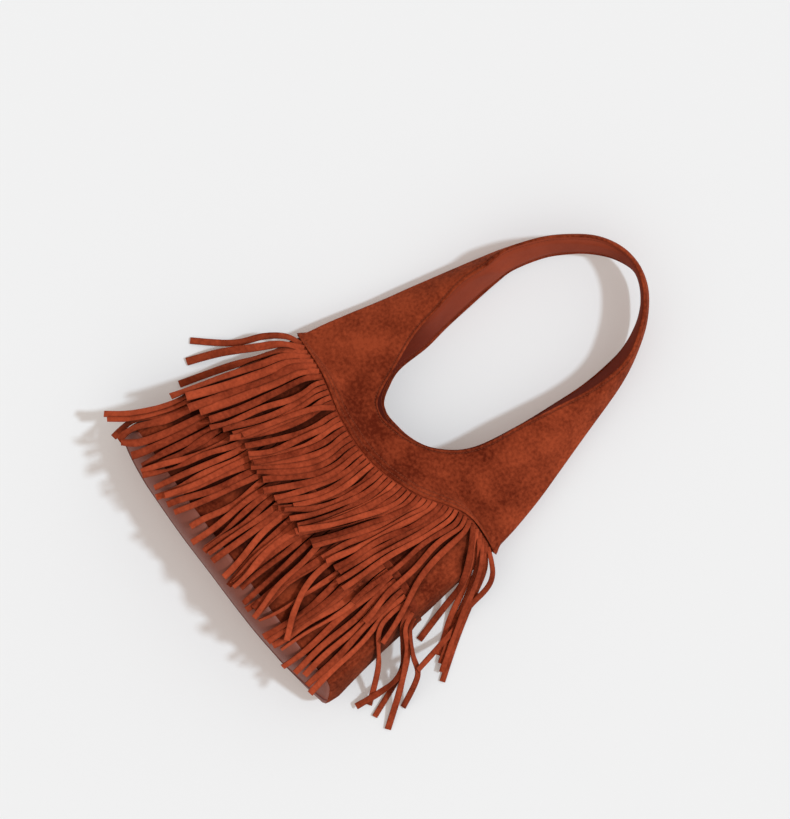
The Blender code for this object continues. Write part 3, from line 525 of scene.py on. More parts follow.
# %% Curves
def curve_at(points, places, closed=False, corners=()):
    """The smooth curve through the points, at these places counted in points from the first."""
    points = np.asarray(points, float)
    count = len(points)
    found = []
    for place in places:
        i = int(place) % count if closed else min(int(place), count - 2)
        t = place - int(place) if closed else place - i
        j = (i + 1) % count
        a, b = points[i], points[j]
        before = points[i - 1] if closed or i else a
        after = points[(i + 2) % count] if closed or i + 2 < count else b
        slope_a = b - a if i in corners else (b - before) / 2
        slope_b = b - a if j in corners else (after - a) / 2
        found.append(
            a * (2 * t**3 - 3 * t**2 + 1)
            + slope_a * (t**3 - 2 * t**2 + t)
            + b * (3 * t**2 - 2 * t**3)
            + slope_b * (t**3 - t**2)
        )
    return np.array(found)


def lengths_along(run):
    """How far along a line each of its points lies."""
    return np.concatenate([[0], np.cumsum(np.linalg.norm(np.diff(run, axis=0), axis=1))])


def read_at(wanted, along, values):
    """Rows of values that stand at these lengths, read in between."""
    return np.column_stack([np.interp(wanted, along, values[:, k]) for k in range(values.shape[1])])


def at_lengths(run, wanted):
    return read_at(wanted, lengths_along(run), run)


def evenly(points, shares):
    """The smooth curve through the points, at shares of its length."""
    run = curve_at(points, np.linspace(0, len(points) - 1, 40 * (len(points) - 1) + 1))
    return at_lengths(run, np.asarray(shares) * lengths_along(run)[-1])


def ease(value):
    """A soft step, level at nought and at one."""
    value = np.clip(value, 0, 1)
    return value * value * (3 - 2 * value)


def unit(vectors):
    return vectors / np.maximum(np.linalg.norm(vectors, axis=-1, keepdims=True), 1e-9)


def dense_ends(count, close):
    """Shares from nought to one, evenly spaced, with more of them close to both ends."""
    middle = np.linspace(0, 1, count)
    close = np.array(close)
    return np.unique(np.round(np.concatenate([middle, close, 1 - close]), 6))


# %% [markdown]
# ## The shell
#
# All panels lie on one puffed shell, as an empty bag does that keeps some air: the front arches up between
# its side seams, the back is flat where it rests, and the base bulges between the two. Each panel is a grid
# on that shell, and neighbouring grids share the points of their seam.

# %% Panels below the yoke
ACROSS = dense_ends(61, [0.0016, 0.0033, 0.0052, 0.0075, 0.0105])
UP = dense_ends(40, [0.003, 0.006, 0.0095, 0.0135, 0.019])
TURNS = np.unique(np.round(np.concatenate([np.linspace(0, 1, 49), np.linspace(0.38, 0.54, 33)]), 6))
SHOULDER_COLUMNS = 8

rest = len(STATIONS) - RIGHT_SHOULDER
stations_rest = np.linspace(RIGHT_SHOULDER, len(STATIONS), rest * SHOULDER_COLUMNS + 1)
RING_PLACES = np.concatenate([ACROSS * RIGHT_SHOULDER, stations_rest[1:-1]])
LOW = len(ACROSS) - 1

front_rim = curve_at([(*s[0], RIM_HEIGHT) for s in STATIONS], RING_PLACES, closed=True)
back_rim = curve_at([s[1] for s in STATIONS], RING_PLACES, closed=True)
outer_edge = curve_at([s[2] for s in STATIONS], RING_PLACES, closed=True, corners=(0, RIGHT_SHOULDER))


def side_seam(plan, heights):
    return np.column_stack([evenly(plan, UP), heights])


side_heights = SIDE_AT_BASE + (SIDE_AT_FOLD - SIDE_AT_BASE) * UP**1.25
back_heights = GUSSET_BACK_HEIGHT + (SIDE_AT_FOLD - GUSSET_BACK_HEIGHT) * UP**3.5
seams = {
    "left": side_seam(LEFT_SEAM, side_heights),
    "right": side_seam(RIGHT_SEAM, side_heights),
    "left_back": side_seam(LEFT_BACK_SEAM, back_heights),
    "right_back": side_seam(RIGHT_BACK_SEAM, back_heights),
}


def front_level(across, up, sides):
    crown = CROWN_AT_BASE + (CROWN_AT_YOKE - CROWN_AT_BASE) * up**1.6
    return sides + (crown - sides) * (1 - np.abs(2 * across - 1) ** ARCH_POWER)


def back_level(across, up, sides):
    low = PANEL_THICK + (YOKE_THICK + SEAM_GAP) * ease((up - 0.86) / 0.1)
    return low + (sides - low) * np.abs(2 * across - 1) ** BACK_POWER


def between_seams(left, right, top, level):
    """A panel from the base seam up to the yoke's edge."""
    across, up = ACROSS[:, None], UP[None, :]
    foot = left[0, :2] * (1 - across) + right[0, :2] * across
    straight = foot[:, None, :] * (1 - up[..., None]) + top[:, None, :2] * up[..., None]
    lean_left, lean_right = left[None, :, :2] - straight[:1], right[None, :, :2] - straight[-1:]
    plan = straight + lean_left * (1 - across[..., None]) ** 2 + lean_right * across[..., None] ** 2
    return np.dstack([plan, level(across, up, left[None, :, 2] * (1 - across) + right[None, :, 2] * across)])


front = between_seams(seams["left"], seams["right"], outer_edge[: LOW + 1], front_level)
back = between_seams(seams["left_back"], seams["right_back"], outer_edge[: LOW + 1], back_level)


def gusset(side):
    """A side panel between its two seams, its foot on the end of the base."""
    share = TURNS
    end = evenly(LEFT_END if side == "left" else RIGHT_END, share)
    share = share[None, :, None]
    grid = seams[side][:, None, :] * (1 - share) + seams[side + "_back"][:, None, :] * share
    away = -1 if side == "left" else 1
    grid[..., 0] += away * GUSSET_BULGE * np.sin(math.pi * share[..., 0]) * (1 - UP[:, None])
    grid += (end[None] - grid[:1]) * (1 - UP[:, None, None]) ** 4
    return grid[:-4]


left_gusset, right_gusset = gusset("left"), gusset("right")

profile = curve_at(BASE_PROFILE, TURNS * (len(BASE_PROFILE) - 1))
reach = np.interp(ACROSS, np.linspace(0, 1, len(BASE_REACH)), BASE_REACH)
down = TURNS[None, :, None]
base = front[:, :1] * (1 - down) + back[:, :1] * down
base[..., 1] -= reach[:, None] * profile[None, :, 0]
base[..., 2] = back[:, :1, 2] + (front[:, :1, 2] - back[:, :1, 2]) * profile[None, :, 1]
base += (evenly(LEFT_END, down[0, :, 0]) - base[0]) * (1 - ACROSS[:, None, None]) ** 5
base += (evenly(RIGHT_END, down[0, :, 0]) - base[-1]) * ACROSS[:, None, None] ** 5
print("panels:", front.shape[:2], "gusset:", left_gusset.shape[:2], "base:", base.shape[:2])

# %% [markdown]
# The yoke's two halves are rings of columns from the rim to the outer edge. Their rows stand close together
# where something fine happens: at the rolled rim with its stitches, and at the lower edge, where the suede
# lies over the fringe and is topstitched twice.

# %% The two rings of the yoke
RIM_ROWS = [0, 0.5, 1.0, 1.6, 2.1, 2.6, 3.1, 3.7, 4.6, 6.0]
EDGE_ROWS = [0, 0.5, 1.1, 1.9, 2.7, 3.3, 3.8, 4.4, 5.4, 7.0, 8.2, 8.8, 9.3, 9.9, 11.5, 14, 18, 23]
MIDDLE_ROWS = 15
SHORT_RING = 14.0
SHOULDER_BLEND = 75.0


def ring_rows(inner, outer, power):
    """Rows of a ring, and each point's distance from the rim and from the outer edge."""
    share = np.linspace(0, 1, 90)
    grid, from_rim, from_edge = [], [], []
    for start, finish, bend in zip(inner, outer, power):
        run = start + (finish - start) * share[:, None]
        run[:, 2] = start[2] + (finish[2] - start[2]) * share**bend
        along = lengths_along(run)
        whole = along[-1]
        tight = min(1.0, whole / (RIM_ROWS[-1] + EDGE_ROWS[-1] + SHORT_RING))
        near, far = np.array(RIM_ROWS) * tight, whole - np.array(EDGE_ROWS[::-1]) * tight
        middle = np.linspace(near[-1], far[0], MIDDLE_ROWS + 2)[1:-1]
        rows = np.concatenate([near, middle, far])
        grid.append(at_lengths(run, rows))
        from_rim.append(rows)
        from_edge.append(whole - rows)
    return np.array(grid), np.array(from_rim), np.array(from_edge)


edge_run = lengths_along(np.vstack([outer_edge, outer_edge[:1]]))
from_shoulder = np.minimum(edge_run[: LOW + 1], edge_run[LOW] - edge_run[: LOW + 1])
along_fold = np.ones(len(RING_PLACES))
along_fold[: LOW + 1] = 1 - ease(from_shoulder / SHOULDER_BLEND)
power = 1 + (FOLD_ROUND - 1) * along_fold
front_outer, back_outer = outer_edge.copy(), outer_edge.copy()
front_outer[: LOW + 1] = front[:, -1]
back_outer[: LOW + 1] = back[:, -1]
front_ring, front_in, front_out = ring_rows(front_rim, front_outer, power)
back_ring, back_in, back_out = ring_rows(back_rim, back_outer, power + along_fold)
back_ring[..., 2] = np.maximum(back_ring[..., 2], YOKE_THICK)

STRAP_ACROSS = np.linspace(0, 1, 17)
strap_first = int(np.argmin(np.abs(RING_PLACES - STRAP_STARTS)))
strap_last = int(np.argmin(np.abs(RING_PLACES - STRAP_ENDS)))
TONGUE = 18
TONGUE_TUCK, TONGUE_RISE = 9.0, 1.5
TURNED_FRONT, TURNED_BACK = 3, 5
span = np.arange(strap_first - TONGUE, strap_last + TONGUE + 1)
tongue = ease(np.maximum(strap_first - span, span - strap_last) / TONGUE)[:, None]
high_edge, low_edge = front_ring[span, TURNED_FRONT].copy(), back_ring[span, TURNED_BACK]
high_edge[:, :2] += unit(front_ring[span, 8, :2] - front_ring[span, 0, :2]) * tongue * TONGUE_TUCK
high_edge[:, 2:] += (low_edge[:, 2:] + TONGUE_RISE - high_edge[:, 2:]) * tongue
across = STRAP_ACROSS[None, :, None]
strap = high_edge[:, None] * (1 - across) + low_edge[:, None] * across
print("ring:", front_ring.shape[:2], "strap:", strap.shape[:2])

# %% [markdown]
# Leather has a thickness, so each grid is offset along its normals. Where two panels meet at a seam they
# use the mean of both normals, so their offsets meet in a mitre instead of crossing.

# %% Normals that neighbours share
def grid_normals(grid, wrap=False):
    along = np.roll(grid, -1, axis=0) - np.roll(grid, 1, axis=0) if wrap else np.gradient(grid, axis=0)
    return unit(np.cross(along, np.gradient(grid, axis=1)))


def shared_normals(patches):
    total, keys, found = {}, [], []
    for grid, flip, wrap in patches:
        key = [tuple(point) for point in np.round(grid.reshape(-1, 3), 2)]
        for where, normal in zip(key, (grid_normals(grid, wrap) * flip).reshape(-1, 3)):
            total[where] = total.get(where, 0) + normal
        keys.append(key)
    for (grid, _, _), key in zip(patches, keys):
        found.append(unit(np.array([total[where] for where in key])).reshape(grid.shape))
    return found


n_front, n_back, n_ring, n_back_ring, n_left, n_right, n_base, n_strap = shared_normals(
    [
        (front, 1, False),
        (back, -1, False),
        (front_ring, -1, True),
        (back_ring, 1, True),
        (left_gusset, 1, False),
        (right_gusset, -1, False),
        (base, -1, False),
        (strap, 1, False),
    ]
)
print("normals along the strap:", n_strap.shape[:2], "and the base:", n_base.shape[:2])

# %% [markdown]
# ## A sheet of leather
#
# Each panel becomes a closed sheet: an outer skin, an inner skin, and a round edge between them. Solidify
# and a bevel would make that as well, but here the two skins differ, because seams, stitches and
# the turned rim only press into the outside. Toward a seam the outside dips, as a turned seam does.

# %% Sheets
def make_piece(name, points, faces, material, sharp=60):
    """A mesh object from points in millimetres, its faces turned outwards."""
    points = (np.asarray(points) - (0, ORIGIN_UP, 0)) * METRE
    volume = 0.0
    for face in faces:
        corner = points[list(face)]
        for k in range(1, len(face) - 1):
            volume += corner[0] @ np.cross(corner[k], corner[k + 1])
    if volume < 0:
        faces = [face[::-1] for face in faces]
    mesh = bpy.data.meshes.new(name)
    mesh.from_pydata(points.tolist(), [], faces)
    mesh.materials.append(material)
    mesh.shade_smooth()
    mesh.set_sharp_from_angle(angle=math.radians(sharp))
    piece = bpy.data.objects.new(name, mesh)
    bpy.context.scene.collection.objects.link(piece)
    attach(piece, "root")
    return piece


def border_loops(columns, rows, wrap):
    """The closed loops of grid points round a sheet: one, or two where the sheet is a ring."""
    if wrap:
        low = [(i, 0) for i in range(columns)]
        return [low, [(i, rows - 1) for i in range(columns)][::-1]]
    there = [(i, 0) for i in range(columns)] + [(columns - 1, k) for k in range(1, rows)]
    back = [(i, rows - 1) for i in range(columns - 2, -1, -1)] + [(0, k) for k in range(rows - 2, 0, -1)]
    return [there + back]


EDGE_STEPS, EDGE_ROUND = 3, 0.8


def sheet(name, outside, inside, material, wrap=False):
    """A closed sheet between two skins, with a round edge."""
    columns, rows = outside.shape[:2]
    skin = columns * rows
    faces = []
    for i in range(columns if wrap else columns - 1):
        j = (i + 1) % columns
        for k in range(rows - 1):
            a, b, c, d = i * rows + k, j * rows + k, j * rows + k + 1, i * rows + k + 1
            faces.append((a, b, c, d))
            faces.append((d + skin, c + skin, b + skin, a + skin))
    points = [outside.reshape(-1, 3), inside.reshape(-1, 3)]
    count = 2 * skin
    middle = (outside + inside) / 2
    for loop in border_loops(columns, rows, wrap):
        at = np.array(loop)
        nearer = at.copy()
        nearer[:, 1] = np.clip(nearer[:, 1], 1, rows - 2)
        if not wrap:
            nearer[:, 0] = np.clip(nearer[:, 0], 1, columns - 2)
        centre = middle[at[:, 0], at[:, 1]]
        away = unit(centre - middle[nearer[:, 0], nearer[:, 1]])
        half = outside[at[:, 0], at[:, 1]] - centre
        bulge = np.linalg.norm(half, axis=1, keepdims=True) * EDGE_ROUND
        chains = [at[:, 0] * rows + at[:, 1]]
        for step in range(1, EDGE_STEPS + 1):
            turn = math.pi * step / (EDGE_STEPS + 1)
            points.append(centre + math.cos(turn) * half + math.sin(turn) * bulge * away)
            chains.append(np.arange(count, count + len(at)))
            count += len(at)
        chains.append(chains[0] + skin)
        for one, two in zip(chains[:-1], chains[1:]):
            for p in range(len(at)):
                q = (p + 1) % len(at)
                faces.append((int(one[q]), int(one[p]), int(two[p]), int(two[q])))
    return make_piece(name, np.concatenate(points), faces, material)


def drawn_back(grid, gap, sides="sehl"):
    """The grid with its named edges (start, end, low, high) drawn back along the sheet."""
    grid = grid.copy()
    if "s" in sides:
        grid[0] += unit(grid[1] - grid[0]) * gap
    if "e" in sides:
        grid[-1] += unit(grid[-2] - grid[-1]) * gap
    if "l" in sides:
        grid[:, 0] += unit(grid[:, 1] - grid[:, 0]) * gap
    if "h" in sides:
        grid[:, -1] += unit(grid[:, -2] - grid[:, -1]) * gap
    return grid


def seam_distance(grid, sides):
    """How far each point lies from the nearest of the named edges."""
    steps = np.linalg.norm(np.diff(grid, axis=0), axis=2)
    from_start = np.vstack([np.zeros((1, grid.shape[1])), np.cumsum(steps, axis=0)])
    rises = np.linalg.norm(np.diff(grid, axis=1), axis=2)
    from_low = np.hstack([np.zeros((grid.shape[0], 1)), np.cumsum(rises, axis=1)])
    each = {"s": from_start, "e": from_start[-1:] - from_start}
    each |= {"l": from_low, "h": from_low[:, -1:] - from_low}
    return np.min([each[side] for side in sides], axis=0)


NOISE_TO_ONE = 1.6


def clouds(grid, size, seed):
    """A smooth field of hills and hollows from about minus one to one, of this size in millimetres."""
    shift = Vector((seed * 7.3, seed * 3.1, seed * 1.7))
    flat = [noise.noise(Vector(point) / size + shift) * NOISE_TO_ONE for point in grid.reshape(-1, 3)]
    return np.array(flat).reshape(grid.shape[:2])


SEAM_DIP, SEAM_DIP_REACH = 1.3, 1.6
HILLS_WIDE, HILLS_FADE = 48, 25
LEAST_ON_FLOOR = 0.4


def panel(name, grid, normals, thick, material, sides, puff, seed, floor=None, gap=0.12, shape=0):
    """A panel with dips along its seams and soft hills between them."""
    away = seam_distance(grid, sides)
    dip = SEAM_DIP * np.exp(-((away / SEAM_DIP_REACH) ** 2))
    soft = clouds(grid, HILLS_WIDE, seed) * puff * ease(away / HILLS_FADE)
    offset = (soft - dip + shape)[..., None]
    pulled = drawn_back(grid, gap)
    outside, inside = pulled + normals * (thick + offset), pulled + normals * offset
    if floor is not None:
        outside[..., 2] = np.maximum(outside[..., 2], floor)
        inside[..., 2] = np.maximum(inside[..., 2], floor + LEAST_ON_FLOOR)
    return sheet(name, outside, inside, material)


# %% [markdown]
# ## Panels, gussets and base
#
# A pressed line runs along each side panel near its edge. The base has a ridge where it turns down, darkened
# there in part by the leather's edge dye and in part with painted shade on its face turned from the lamp.
# The front panel runs up under the yoke. The back panel lies on the floor and is flat there. The base is
# thicker leather with softer waves, because smooth leather doesn't take small dents.

# %% Make the panels
lap_row = int(np.argmin(np.abs(front_out[LOW // 2] - (YOKE_LAP - 1))))
tall_front = np.concatenate([front, front_ring[: LOW + 1, lap_row][:, None]], axis=1)
tall_back = np.concatenate([back, back_ring[: LOW + 1, lap_row][:, None]], axis=1)
tall_n_front = np.concatenate([n_front, n_ring[: LOW + 1, lap_row][:, None]], axis=1)
tall_n_back = np.concatenate([n_back, n_back_ring[: LOW + 1, lap_row][:, None]], axis=1)

front_panel = panel("front_panel", tall_front, tall_n_front, PANEL_THICK, SUEDE, "sel", 0.9, 3)
back_panel = panel("back_panel", tall_back, tall_n_back, PANEL_THICK, SUEDE, "sel", 0.3, 4, floor=0)
EDGE_LINE_LEFT, EDGE_LINE_RIGHT, EDGE_LINE_WIDE, EDGE_LINE_DEEP = 0.42, 0.5, 0.012, 0.9
BASE_EDGE, BASE_EDGE_WIDE = 0.452, 0.017
BULGE_LEFT, BULGE_RIGHT = 1.0, 3.5


def side_shape(grid, line, bulge):
    """A side panel's bulge near its foot, and the pressed line along its edge."""
    rise = UP[: len(grid), None]
    bulge = bulge * np.sin(math.pi * TURNS) * ease(rise / 0.06) * (1 - rise) ** 2
    return bulge - EDGE_LINE_DEEP * np.exp(-(((TURNS - line) / EDGE_LINE_WIDE) ** 2)) * ease(rise / 0.03)


def keep_values(piece, label, values):
    """An attribute of the mesh with one value for each of its points."""
    piece.data.attributes.new(label, "FLOAT", "POINT").data.foreach_set("value", values)


def set_attribute(piece, label, values):
    """Keeps one value for each point of a sheet's two skins, and nought on its rim."""
    whole = np.zeros(len(piece.data.vertices))
    whole[: 2 * values.size] = np.tile(values.ravel(), 2)
    keep_values(piece, label, whole)


shape = side_shape(left_gusset, EDGE_LINE_LEFT, BULGE_LEFT)
left_side = panel("left_side", left_gusset, n_left, GUSSET_THICK, SUEDE, "slh", 1.2, 5, shape=shape)
shape = side_shape(right_gusset, EDGE_LINE_RIGHT, BULGE_RIGHT)
right_side = panel(
    "right_side", right_gusset, n_right, GUSSET_THICK, SUEDE, "slh", 1.2, 6, shape=shape
)
edge = np.exp(-(((TURNS - BASE_EDGE) / BASE_EDGE_WIDE) ** 4)) * np.ones((len(base), 1))
bottom = panel(
    "bottom", base, n_base, BASE_THICK, BASE_LEATHER, "sehl", 0.8, 7, floor=0, shape=edge
)
# A dark band along the ridge: the leather's edge dye in part, painted shade in part.
set_attribute(bottom, "dyed_edge", edge)
for piece, node in (
    (front_panel, "lower_front_panel"),
    (back_panel, "lower_back_panel"),
    (left_side, "left_gusset"),
    (right_side, "right_gusset"),
    (bottom, "base_panel"),
):
    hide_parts(node)
    print(piece.name, len(piece.data.polygons), "faces")

# %% [markdown]
# ## The yoke
#
# At the mouth the suede is turned in and stitched, which makes a slightly fatter rim with a groove inside
# it. At its lower edge it is lifted over the panel and the fringe's strip and pressed down again by two rows
# of stitches. The stitch grooves are darkened with painted shade. The lift fades out above, and past the
# two shoulders. Hands have brushed the nap lighter beside the strap, and it lies darker under the mouth.

# %% Make the yoke
RIM_STITCH, RIM_RAISED, RIM_GROOVE = 2.6, 0.45, 0.8
EDGE_STITCHES, EDGE_GROOVE = (3.6, 9.0), 0.5
SHOULDER_FADE = 12.0
GROOVE_SHADE = 0.55
YOKE_HILLS, YOKE_RIPPLES, RIPPLE_SHARE = 62, 24, 0.28
YOKE_LEAST_ON_FLOOR = 0.5


def groove(distance, place, deep, wide=0.75):
    """A soft groove, or a ridge, at one distance from an edge."""
    return deep * np.exp(-(((distance - place) / wide) ** 2))


past = np.minimum(np.abs(edge_run[:-1] - edge_run[LOW]), edge_run[-1] - edge_run[:-1])
past[: LOW + 1] = 0
low_weight = ease(1 - past / SHOULDER_FADE)


def yoke(name, grid, normals, from_rim, from_edge, under, puff, seed, floor=None):
    """One half of the yoke, from the rim to the lower edge and the fold."""
    lift = under * low_weight[:, None] * ease((YOKE_LAP + LAP_FADE - from_edge) / LAP_FADE)
    soft = clouds(grid, YOKE_HILLS, seed) * puff * ease(from_rim / 22) * ease(from_edge / 26)
    small = clouds(grid, YOKE_RIPPLES, seed + 1) * puff * RIPPLE_SHARE
    small = small * ease(from_rim / 14) * ease(from_edge / 14)
    rim = RIM_RAISED * np.exp(-((from_rim / 1.9) ** 4))
    press = groove(from_rim, RIM_STITCH, RIM_GROOVE)
    for place in EDGE_STITCHES:
        press = press + groove(from_edge, place, EDGE_GROOVE) * low_weight[:, None]
    fold = groove(from_edge, 0, SEAM_DIP * 0.7, 1.1) - groove(from_edge, 2.2, 0.25, 0.9)
    fold = fold * (1 - low_weight[:, None])
    base_offset = lift + soft + small
    outside = grid + normals * (YOKE_THICK + base_offset + rim - press - fold)[..., None]
    inside = grid + normals * (base_offset - fold)[..., None]
    if floor is not None:
        outside[..., 2] = np.maximum(outside[..., 2], floor)
        inside[..., 2] = np.maximum(inside[..., 2], floor + YOKE_LEAST_ON_FLOOR)
    piece = sheet(name, outside, inside, SUEDE, wrap=True)
    # Painted shade along the yoke, deepest in the stitch grooves.
    set_attribute(piece, "covered", GROOVE_SHADE * press / press.max())
    return piece, outside


under_front = PANEL_THICK + FRINGE_THICK + 2 * SEAM_GAP
BRUSHED = [
    (-5, 203, 45, -0.38),
    (-93, 222, 35, 0.22),
    (92, 352, 45, 0.32),
    (-103, 292, 45, 0.27),
    (85, 280, 30, -0.1),
]
front_yoke, yoke_skin = yoke("yoke_front", front_ring, n_ring, front_in, front_out, under_front, 1.5, 8)
back_yoke, back_skin = yoke(
    "yoke_back", back_ring, n_back_ring, back_in, back_out, PANEL_THICK + SEAM_GAP, 0.8, 9, floor=0
)
hands = np.zeros(front_ring.shape[:2])
for x, y, wide, amount in BRUSHED:
    hands += amount * np.exp(-((front_ring[..., 0] - x) ** 2 + (front_ring[..., 1] - y) ** 2) / wide**2)
set_attribute(front_yoke, "brushed", hands)
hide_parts("front_yoke")
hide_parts("back_yoke")
print("yoke:", len(front_yoke.data.polygons), len(back_yoke.data.polygons), "faces")

# %% [markdown]
# ## Strap lining and facings
#
# The inner face of the strap is smooth leather, sewn to both rims. It bows a little into the loop, and on
# the left one crease runs across it from rim to rim. Inside the mouth two facings carry on with the same
# leather. The lining's colour carries painted shade: it is light on the upper left of the strap and dark over
# its right side and at both ends, where it dives into the mouth. The facings are darkened with painted shade.

# %% Make the strap lining and the facings
LINING_BOW = 1.6
STRAP_STITCH, STRAP_GROOVE = 2.4, 0.3
STRAP_SHADE = [
    (0, 0.85),
    (0.12, 0.75),
    (0.3, 0.62),
    (0.4, 0.4),
    (0.5, 0.15),
    (0.6, 0),
    (0.8, 0),
    (0.9, 0.4),
    (1, 0.85),
]
FACING_SHADE = 0.85
CREASE_FRONT, CREASE_BACK = (-87.7, 379.7), (-71.0, 418.5)
CREASE_TALL, CREASE_WIDE, CREASE_REACH = 1.6, 3.2, 45
HOLLOW_DEEP, HOLLOW_WIDE = 0.5, 5


def crease(grid):
    """A sharp low ridge along a line across the strap, with a hollow beside it."""
    a, b = np.array(CREASE_FRONT), np.array(CREASE_BACK)
    run = unit(b - a)
    off = (grid[..., :2] - a) @ np.array([-run[1], run[0]])
    near = ease(1 - np.abs(grid[..., 1] - (a[1] + b[1]) / 2) / CREASE_REACH)
    ridge = CREASE_TALL * np.exp(-np.abs(off) / CREASE_WIDE)
    return (ridge - HOLLOW_DEEP * np.exp(-np.abs(off - HOLLOW_WIDE) / HOLLOW_WIDE)) * near


strap_gap = drawn_back(strap, 0.25, "lh")
strap_away = seam_distance(strap, "lh")
strap_soft = clouds(strap, 30, 12) * 0.6 * ease(strap_away / 6)
strap_offset = LINING_BOW * ease(strap_away / 9) + strap_soft + crease(strap) * ease(strap_away / 4)
strap_offset -= groove(strap_away, STRAP_STITCH, STRAP_GROOVE, 0.7)
strap_skin = strap_gap + n_strap * (STRAP_LINING_THICK + strap_offset)[..., None]
strap_back = strap_gap + n_strap * (strap_offset * 0.8)[..., None]
strap_lining = sheet("strap_inner", strap_skin, strap_back, SMOOTH_LEATHER)
# Painted shade along the strap lining: dark over its right side and both ends, light on the upper left.
strap_shade = np.interp(np.linspace(0, 1, len(strap)), *zip(*STRAP_SHADE))
set_attribute(strap_lining, "dyed_edge", strap_shade[:, None] * np.ones((1, strap.shape[1])))
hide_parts("strap_lining")

RIM_TURNED_ROWS = 6
order = [i % len(RING_PLACES) for i in range(strap_last, len(RING_PLACES) + strap_first + 1)]
facing_rows = slice(0, front_ring.shape[1] - len([row for row in EDGE_ROWS if row < YOKE_LAP]))
facings = []
for name, ring, normals, node in (
    ("facing_front", front_ring, n_ring, "front_facing"),
    ("facing_back", back_ring, n_back_ring, "back_facing"),
):
    grid = drawn_back(ring[order][:, facing_rows][:, RIM_TURNED_ROWS:], 0.3)
    side = normals[order][:, facing_rows][:, RIM_TURNED_ROWS:]
    near, far = grid - side * SEAM_GAP, grid - side * (SEAM_GAP + FACING_THICK)
    facing = sheet(name, near, far, SMOOTH_LEATHER)
    # Painted shade over the whole of each facing, inside the mouth.
    set_attribute(facing, "dyed_edge", np.full(grid.shape[:2], FACING_SHADE))
    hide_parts(node)
    facings.append(facing)
print("strap:", len(strap_lining.data.polygons), "facings:", [len(f.data.polygons) for f in facings])

# %% [markdown]
# ## Cloth lining
#
# Inside hangs a plain pouch of woven cloth, sewn in below the facings. It can only be seen through the mouth,
# so it is one tube of two layers that is shut at the foot.

# %% Make the cloth lining
LINING_CLEARANCE, LINING_TOP_ROW, LINING_FOOT, LINING_FOOT_SHARE = 2.6, -3, 10.5, 0.8
UPPER_SAG, LOWER_SAG, SAGS_WIDE = 1.2, 0.6, 35
inset = slice(4, -4)
upper, lower = front[inset, 4:LINING_TOP_ROW].copy(), back[inset, 4:LINING_TOP_ROW].copy()
upper[..., 2] -= LINING_CLEARANCE + UPPER_SAG * (1 + clouds(upper, SAGS_WIDE, 14))
lower[..., 2] += LINING_CLEARANCE + LOWER_SAG * (1 + clouds(lower, SAGS_WIDE, 15))
pouch = np.concatenate([upper, lower[::-1]])
foot = pouch[:, :1].copy()
foot[..., 1] = LINING_FOOT
foot[..., 2] = foot[..., 2].mean() + (foot[..., 2] - foot[..., 2].mean()) * LINING_FOOT_SHARE
pouch = np.concatenate([foot, pouch], axis=1)
inward = unit(np.cross(np.roll(pouch, -1, axis=0) - np.roll(pouch, 1, axis=0), (0, 1, 0)))
columns, rows = pouch.shape[:2]
skins = [pouch, pouch + inward * LINING_THICK]
skins[1][:, 0, 1] += LINING_THICK
skin, faces = columns * rows, []
for i in range(columns):
    j = (i + 1) % columns
    for k in range(rows - 1):
        a, b, c, d = i * rows + k, j * rows + k, j * rows + k + 1, i * rows + k + 1
        faces.extend([(d, c, b, a), (a + skin, b + skin, c + skin, d + skin)])
    rim, next_rim = i * rows + rows - 1, j * rows + rows - 1
    faces.append((rim, rim + skin, next_rim + skin, next_rim))
for i in range(columns // 2 - 1):
    a, b, c, d = (p * rows for p in (i, i + 1, columns - 2 - i, columns - 1 - i))
    faces.extend([(a, b, c, d), (d + skin, c + skin, b + skin, a + skin)])
pouch_points = np.concatenate([layer.reshape(-1, 3) for layer in skins])
pouch_piece = make_piece("cloth_pouch", pouch_points, faces, CLOTH)
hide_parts("lining")
print("pouch:", len(pouch_piece.data.polygons), "faces")

# %% [markdown]
# ## Stitches
#
# A stitch is a short fat grain of thread, sunk at both ends. One is modelled from a cylinder: its ends are
# inset and pushed out, and the whole is flattened. Then it is set down again and again along each row.

# %% Model one stitch
STITCH_PITCH, STITCH_LONG, STITCH_WIDE = 3.1, 2.3, 0.8
STITCH_SIZE = (STITCH_LONG, STITCH_WIDE, STITCH_WIDE * 0.75)
STITCH_SKEW, STITCH_PROUD, STITCH_REACH = 0.035, 0.05, 0.6

bpy.ops.object.select_all(action="DESELECT")
bpy.ops.mesh.primitive_cylinder_add(
    vertices=8, radius=0.5, depth=0.62, end_fill_type="NGON", rotation=(0, math.pi / 2, 0)
)
stitch = bpy.context.object
bpy.ops.object.transform_apply(location=False, rotation=True, scale=False)
bpy.ops.object.mode_set(mode="EDIT")
bpy.ops.mesh.select_mode(type="FACE")
for side in (-1, 1):
    bpy.ops.mesh.select_all(action="DESELECT")
    bpy.ops.object.mode_set(mode="OBJECT")
    for face in stitch.data.polygons:
        face.select = face.normal.x * side > 0.9
    bpy.ops.object.mode_set(mode="EDIT")
    bpy.ops.mesh.inset(thickness=0.18)
    bpy.ops.transform.translate(value=(0.19 * side, 0, 0))
bpy.ops.object.mode_set(mode="OBJECT")
STITCH_POINTS = np.array([v.co[:] for v in stitch.data.vertices]) * STITCH_SIZE
STITCH_FACES = [tuple(face.vertices) for face in stitch.data.polygons]
bpy.data.objects.remove(stitch)
print("one stitch:", len(STITCH_FACES), "faces")

# %% [markdown]
# A row follows a line on the skin at one distance from its edge, with a whole number of stitches evenly
# spaced. Each one leans a little its own way, as on any real seam. Such a row could be a bump in the
# leather's finish, but modelled stitches catch the light at the rim and stand in their groove.

